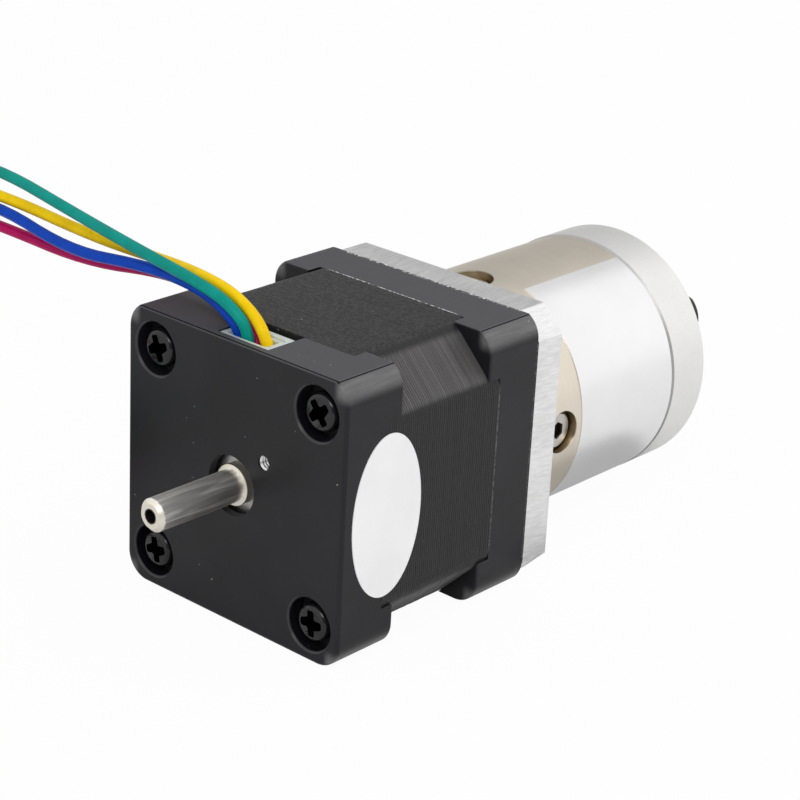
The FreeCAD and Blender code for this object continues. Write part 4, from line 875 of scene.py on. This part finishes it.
# How far out each step of the head's rim is, as a share of its radius, and how far below the top
HEAD_STEPS = [(0.74, 0.0), (0.82, 0.07), (0.89, 0.17), (0.95, 0.34), (0.99, 0.58), (1.0, 0.88), (1.0, 2.05)]
SHANK_RADIUS = 1.25
CROSS_ARM, CROSS_HALF = 1.62, 0.50
CROSS_SOFT = 0.26
RECESS_DEPTH = 1.2
RECESS_TAPER = 0.5
# How far each screw was turned when it was driven home, by its corner
SCREW_TURNS = {(-1, 1): 22, (1, 1): 38, (-1, -1): 12, (1, -1): 4}


def cross_recess(shape):
    """A flat cross with rounded corners, as one face."""
    arm = [(CROSS_ARM, CROSS_HALF), (CROSS_HALF, CROSS_HALF), (CROSS_HALF, CROSS_ARM)]
    corners = []
    for quarter in range(4):
        corners += [shape.verts.new((x, y, 0)) for x, y in arm]
        arm = [(-y, x) for x, y in arm]
    shape.faces.new(corners)
    bmesh.ops.bevel(shape, geom=corners, offset=CROSS_SOFT, affect="VERTICES", segments=3, profile=0.5,
                    material=-1)
    shape.faces.ensure_lookup_table()
    return shape.faces[-1]


def cap_screw(shape, x, z, degrees):
    """One screw, drawn upright along +Z and then laid along the shaft axis."""
    first = len(shape.verts)
    recess = cross_recess(shape)
    mouth = list(recess.edges)
    flat_radius = HEAD_RADIUS * HEAD_STEPS[0][0]
    rim = bmesh.ops.create_circle(shape, segments=HEAD_SEGMENTS, radius=flat_radius)["verts"]
    loop = edges_at(rim)
    bmesh.ops.bridge_loops(shape, edges=mouth + loop)
    recess_floor = bmesh.ops.extrude_discrete_faces(shape, faces=[recess])["faces"][0]
    bmesh.ops.scale(shape, vec=(RECESS_TAPER, RECESS_TAPER, 1), verts=recess_floor.verts)
    bmesh.ops.translate(shape, vec=(0, 0, -RECESS_DEPTH), verts=recess_floor.verts)
    for (before, drop), (share, lower) in zip(HEAD_STEPS, HEAD_STEPS[1:]):
        loop = draw_out(shape, loop, (0, 0, drop - lower), (share / before, share / before, 1))
    loop = draw_out(shape, loop, grow=(SHANK_RADIUS / HEAD_RADIUS, SHANK_RADIUS / HEAD_RADIUS, 1))
    loop = draw_out(shape, loop, (0, 0, SCREW_TOP + HEAD_STEPS[-1][1] - SHANK_END))
    bmesh.ops.edgenet_fill(shape, edges=loop)
    shape.verts.ensure_lookup_table()
    lay = Matrix.Rotation(math.radians(90), 4, "X") @ Matrix.Rotation(math.radians(degrees), 4, "Z")
    bmesh.ops.transform(shape, matrix=Matrix.Translation((x, SCREW_TOP, z)) @ lay, verts=shape.verts[first:])


screws = bmesh.new()
for (side, level), degrees in SCREW_TURNS.items():
    cap_screw(screws, side * SCREW_OFFSET, level * SCREW_OFFSET, degrees)
hand_over(screws, "cap_screws", metals["black_oxide"], "motor_screws")

# %% [markdown]
# The lead exit is a small milky tray, moulded with soft edges: a rim, a sunken floor and a slot in it
# for the leads. A block with a hole would do for its outline, but its soft rim is what catches the
# light. So one rounded outline is drawn in from loop to loop, over the rim, down to the floor and
# through the slot, and then back outside to where it started.

# %% Lead exit
EXIT_CORNER = 0.7
EXIT_RIM = 0.8
EXIT_DISH = 0.25
EXIT_SOFT = 0.11
SLOT_LEFT, SLOT_RIGHT, SLOT_SIDE = -3.0, 2.5, 0.5


def lead_exit():
    shape = bmesh.new()
    low, high = span("lead_grommet")
    middle = (low + high) / 2
    width, depth = high.x - low.x, high.y - low.y
    dish_width, dish_depth = width - 2 * EXIT_RIM, depth - 2 * EXIT_RIM
    slot_width, slot_depth = SLOT_RIGHT - SLOT_LEFT, dish_depth - 2 * SLOT_SIDE
    corners = [(low.x, low.y), (high.x, low.y), (high.x, high.y), (low.x, high.y)]
    rim = soften(shape, outline(shape, [(x, y, high.z) for x, y in corners]), EXIT_CORNER, 4)
    dish = draw_out(shape, rim, grow=(dish_width / width, dish_depth / depth, 1), about=middle)
    sunk = draw_out(shape, dish, (0, 0, -EXIT_DISH))
    slot = draw_out(shape, sunk, ((SLOT_LEFT + SLOT_RIGHT) / 2 - middle.x, 0, 0),
                    (slot_width / dish_width, slot_depth / dish_depth, 1), middle)
    slot_foot = draw_out(shape, slot, (0, 0, low.z - high.z + EXIT_DISH))
    rim_foot = draw_out(shape, rim, (0, 0, low.z - high.z))
    bmesh.ops.bridge_loops(shape, edges=slot_foot + rim_foot)
    bmesh.ops.recalc_face_normals(shape, faces=shape.faces)
    bmesh.ops.bevel(shape, geom=rim + dish + slot, offset=EXIT_SOFT, affect="EDGES", segments=3, profile=0.5,
                    material=-1)
    return shape


hand_over(lead_exit(), "lead_exit_tray", milky_nylon, "lead_grommet")

# %% [markdown]
# Small tapped holes stand beside the rear shaft and in the gearbox's front face.
# A thread is a short profile that turns and climbs at once, which is just what a spin with an
# offset does. One such ridge per hole makes the bright turns that show in its mouth.

# %% Threads
# A hole's mouth, its radius, its pitch, its depth, and which way along the shaft it goes in
REAR_HOLE = (REAR_FACE, 0.9, 0.4, 3.0, 1)
FACE_HOLE = (0.0, 1.25, 0.5, 5.0, -1)
REAR_ACROSS, REAR_UP = 5.13, 4.49
FACE_REACH = 13.0 * math.sqrt(0.5)
HOLES = [(side * REAR_ACROSS, side * REAR_UP, REAR_HOLE) for side in (1, -1)]
HOLES += [(a * FACE_REACH, b * FACE_REACH, FACE_HOLE) for a in (1, -1) for b in (1, -1)]
THREAD_STEPS = 20
# The ridge's height and the widths of its foot and its crest, as shares of the pitch
THREAD_RISE, THREAD_FOOT, THREAD_CREST = 0.55, 0.98, 0.1568
MOUTH_GAP, FLOOR_GAP = 0.12, 0.2


def thread_turns(shape, x, z, mouth, radius, pitch, depth, inward):
    """The ridge of a tapped hole, from just inside its mouth to near its floor."""
    foot, crest = pitch / 2 * THREAD_FOOT, pitch / 2 * THREAD_CREST
    start = mouth + inward * (foot + MOUTH_GAP)
    ridge = radius - pitch * THREAD_RISE
    corners = [(radius, -foot), (ridge, -crest), (ridge, crest), (radius, foot)]
    points = [shape.verts.new((x + reach, start + along, z)) for reach, along in corners]
    profile = [shape.edges.new(pair) for pair in zip(points, points[1:])]
    turns = (depth - pitch - FLOOR_GAP) / pitch
    steps = round(THREAD_STEPS * turns)
    bmesh.ops.spin(shape, geom=points + profile, cent=(x, start, z), axis=(0, 1, 0),
                   angle=2 * math.pi * turns, dvec=(0, inward * pitch * turns / steps, 0), steps=steps,
                   use_merge=False)


threads = bmesh.new()
for x, z, hole in HOLES:
    thread_turns(threads, x, z, *hole)
hand_over(threads, "tapped_threads", metals["cut_thread"])

# %% [markdown]
# The hank is held by a small black tie, and the leads end in bare twisted strands.
# Both lie outside the portrait but not outside the model. The tie is an outline with rounded corners,
# drawn to its width and given a wall; each strand end is a lobed outline, turned a little at every step.

# %% Tie
TIE_WALL = 0.7
TIE_CORNER = 1.6
LOCK_WIDER, LOCK_DEPTH, LOCK_HEIGHT = 0.8, 2.4, 1.5
LOCK_SOFT = 0.25


def tie_band():
    """A band round the hank, with a lock on its top."""
    shape = bmesh.new()
    low, high = span("lead_tie")
    middle = (low + high) / 2
    width = high.x - low.x
    corners = [(low.y, low.z), (high.y, low.z), (high.y, high.z), (low.y, high.z)]
    loop = soften(shape, outline(shape, [(low.x, y, z) for y, z in corners]), TIE_CORNER, 5)
    draw_out(shape, loop, (width, 0, 0))
    bmesh.ops.recalc_face_normals(shape, faces=shape.faces)
    bmesh.ops.solidify(shape, geom=list(shape.faces), thickness=TIE_WALL)
    lock = bmesh.ops.create_cube(shape, size=1.0)["verts"]
    bmesh.ops.scale(shape, vec=(width + LOCK_WIDER, LOCK_DEPTH, LOCK_HEIGHT), verts=lock)
    bmesh.ops.translate(shape, vec=(middle.x, middle.y, high.z - LOCK_HEIGHT / 2 + TIE_WALL), verts=lock)
    bmesh.ops.bevel(shape, geom=edges_at(lock), offset=LOCK_SOFT, affect="EDGES", segments=2, profile=0.5,
                    material=-1)
    return shape


hand_over(tie_band(), "hank_tie", tie_nylon, "lead_tie")

# %% Bare ends
STRAND_RADIUS = 0.3
STRAND_LOBES = 6
CORNERS_PER_LOBE = 3
LOBE_HOLLOW = 0.72
STRAND_LENGTH = 4.0
STRAND_STEPS = 12
STRAND_TWIST = math.radians(26)
FOOT_RADIUS = 5.7
FOOT_LEAN = 135


def bare_end(shape, name):
    """A twisted end of strands, from the lead's inner end towards the middle of the hank."""
    degrees = INNER_END[name][0]
    foot = Vector((*(HANK_CENTRE + towards(degrees) * FOOT_RADIUS), ROUTES[name][-1][2]))
    aim = Vector((*towards(degrees + FOOT_LEAN), 0))
    first = len(shape.verts)
    segments = STRAND_LOBES * CORNERS_PER_LOBE
    ring = bmesh.ops.create_circle(shape, segments=segments, radius=STRAND_RADIUS)["verts"]
    bmesh.ops.scale(shape, vec=(LOBE_HOLLOW, LOBE_HOLLOW, 1), verts=ring[::CORNERS_PER_LOBE])
    loop = edges_at(ring)
    bmesh.ops.edgenet_fill(shape, edges=loop)
    twist = Matrix.Rotation(STRAND_TWIST, 3, "Z")
    for step in range(STRAND_STEPS):
        loop = draw_out(shape, loop, (0, 0, STRAND_LENGTH / STRAND_STEPS), turn=twist)
    bmesh.ops.edgenet_fill(shape, edges=loop)
    shape.verts.ensure_lookup_table()
    stand = Matrix.Translation(foot) @ aim.to_track_quat("Z", "Y").to_matrix().to_4x4()
    bmesh.ops.transform(shape, matrix=stand, verts=shape.verts[first:])


ends = bmesh.new()
for name in ROUTES:
    bare_end(ends, name)
hand_over(ends, "lead_bare_ends", metals["tinned"], "lead_tips")

# %% [markdown] Last, the leads are gone through once more, and the pieces that lie on the red one are named.

for name, lead in leads.items():
    ["lead_bare_ends", "hank_tie"] if name == "red" else []
print("declared", len(leads), "leads")

# %% [markdown]
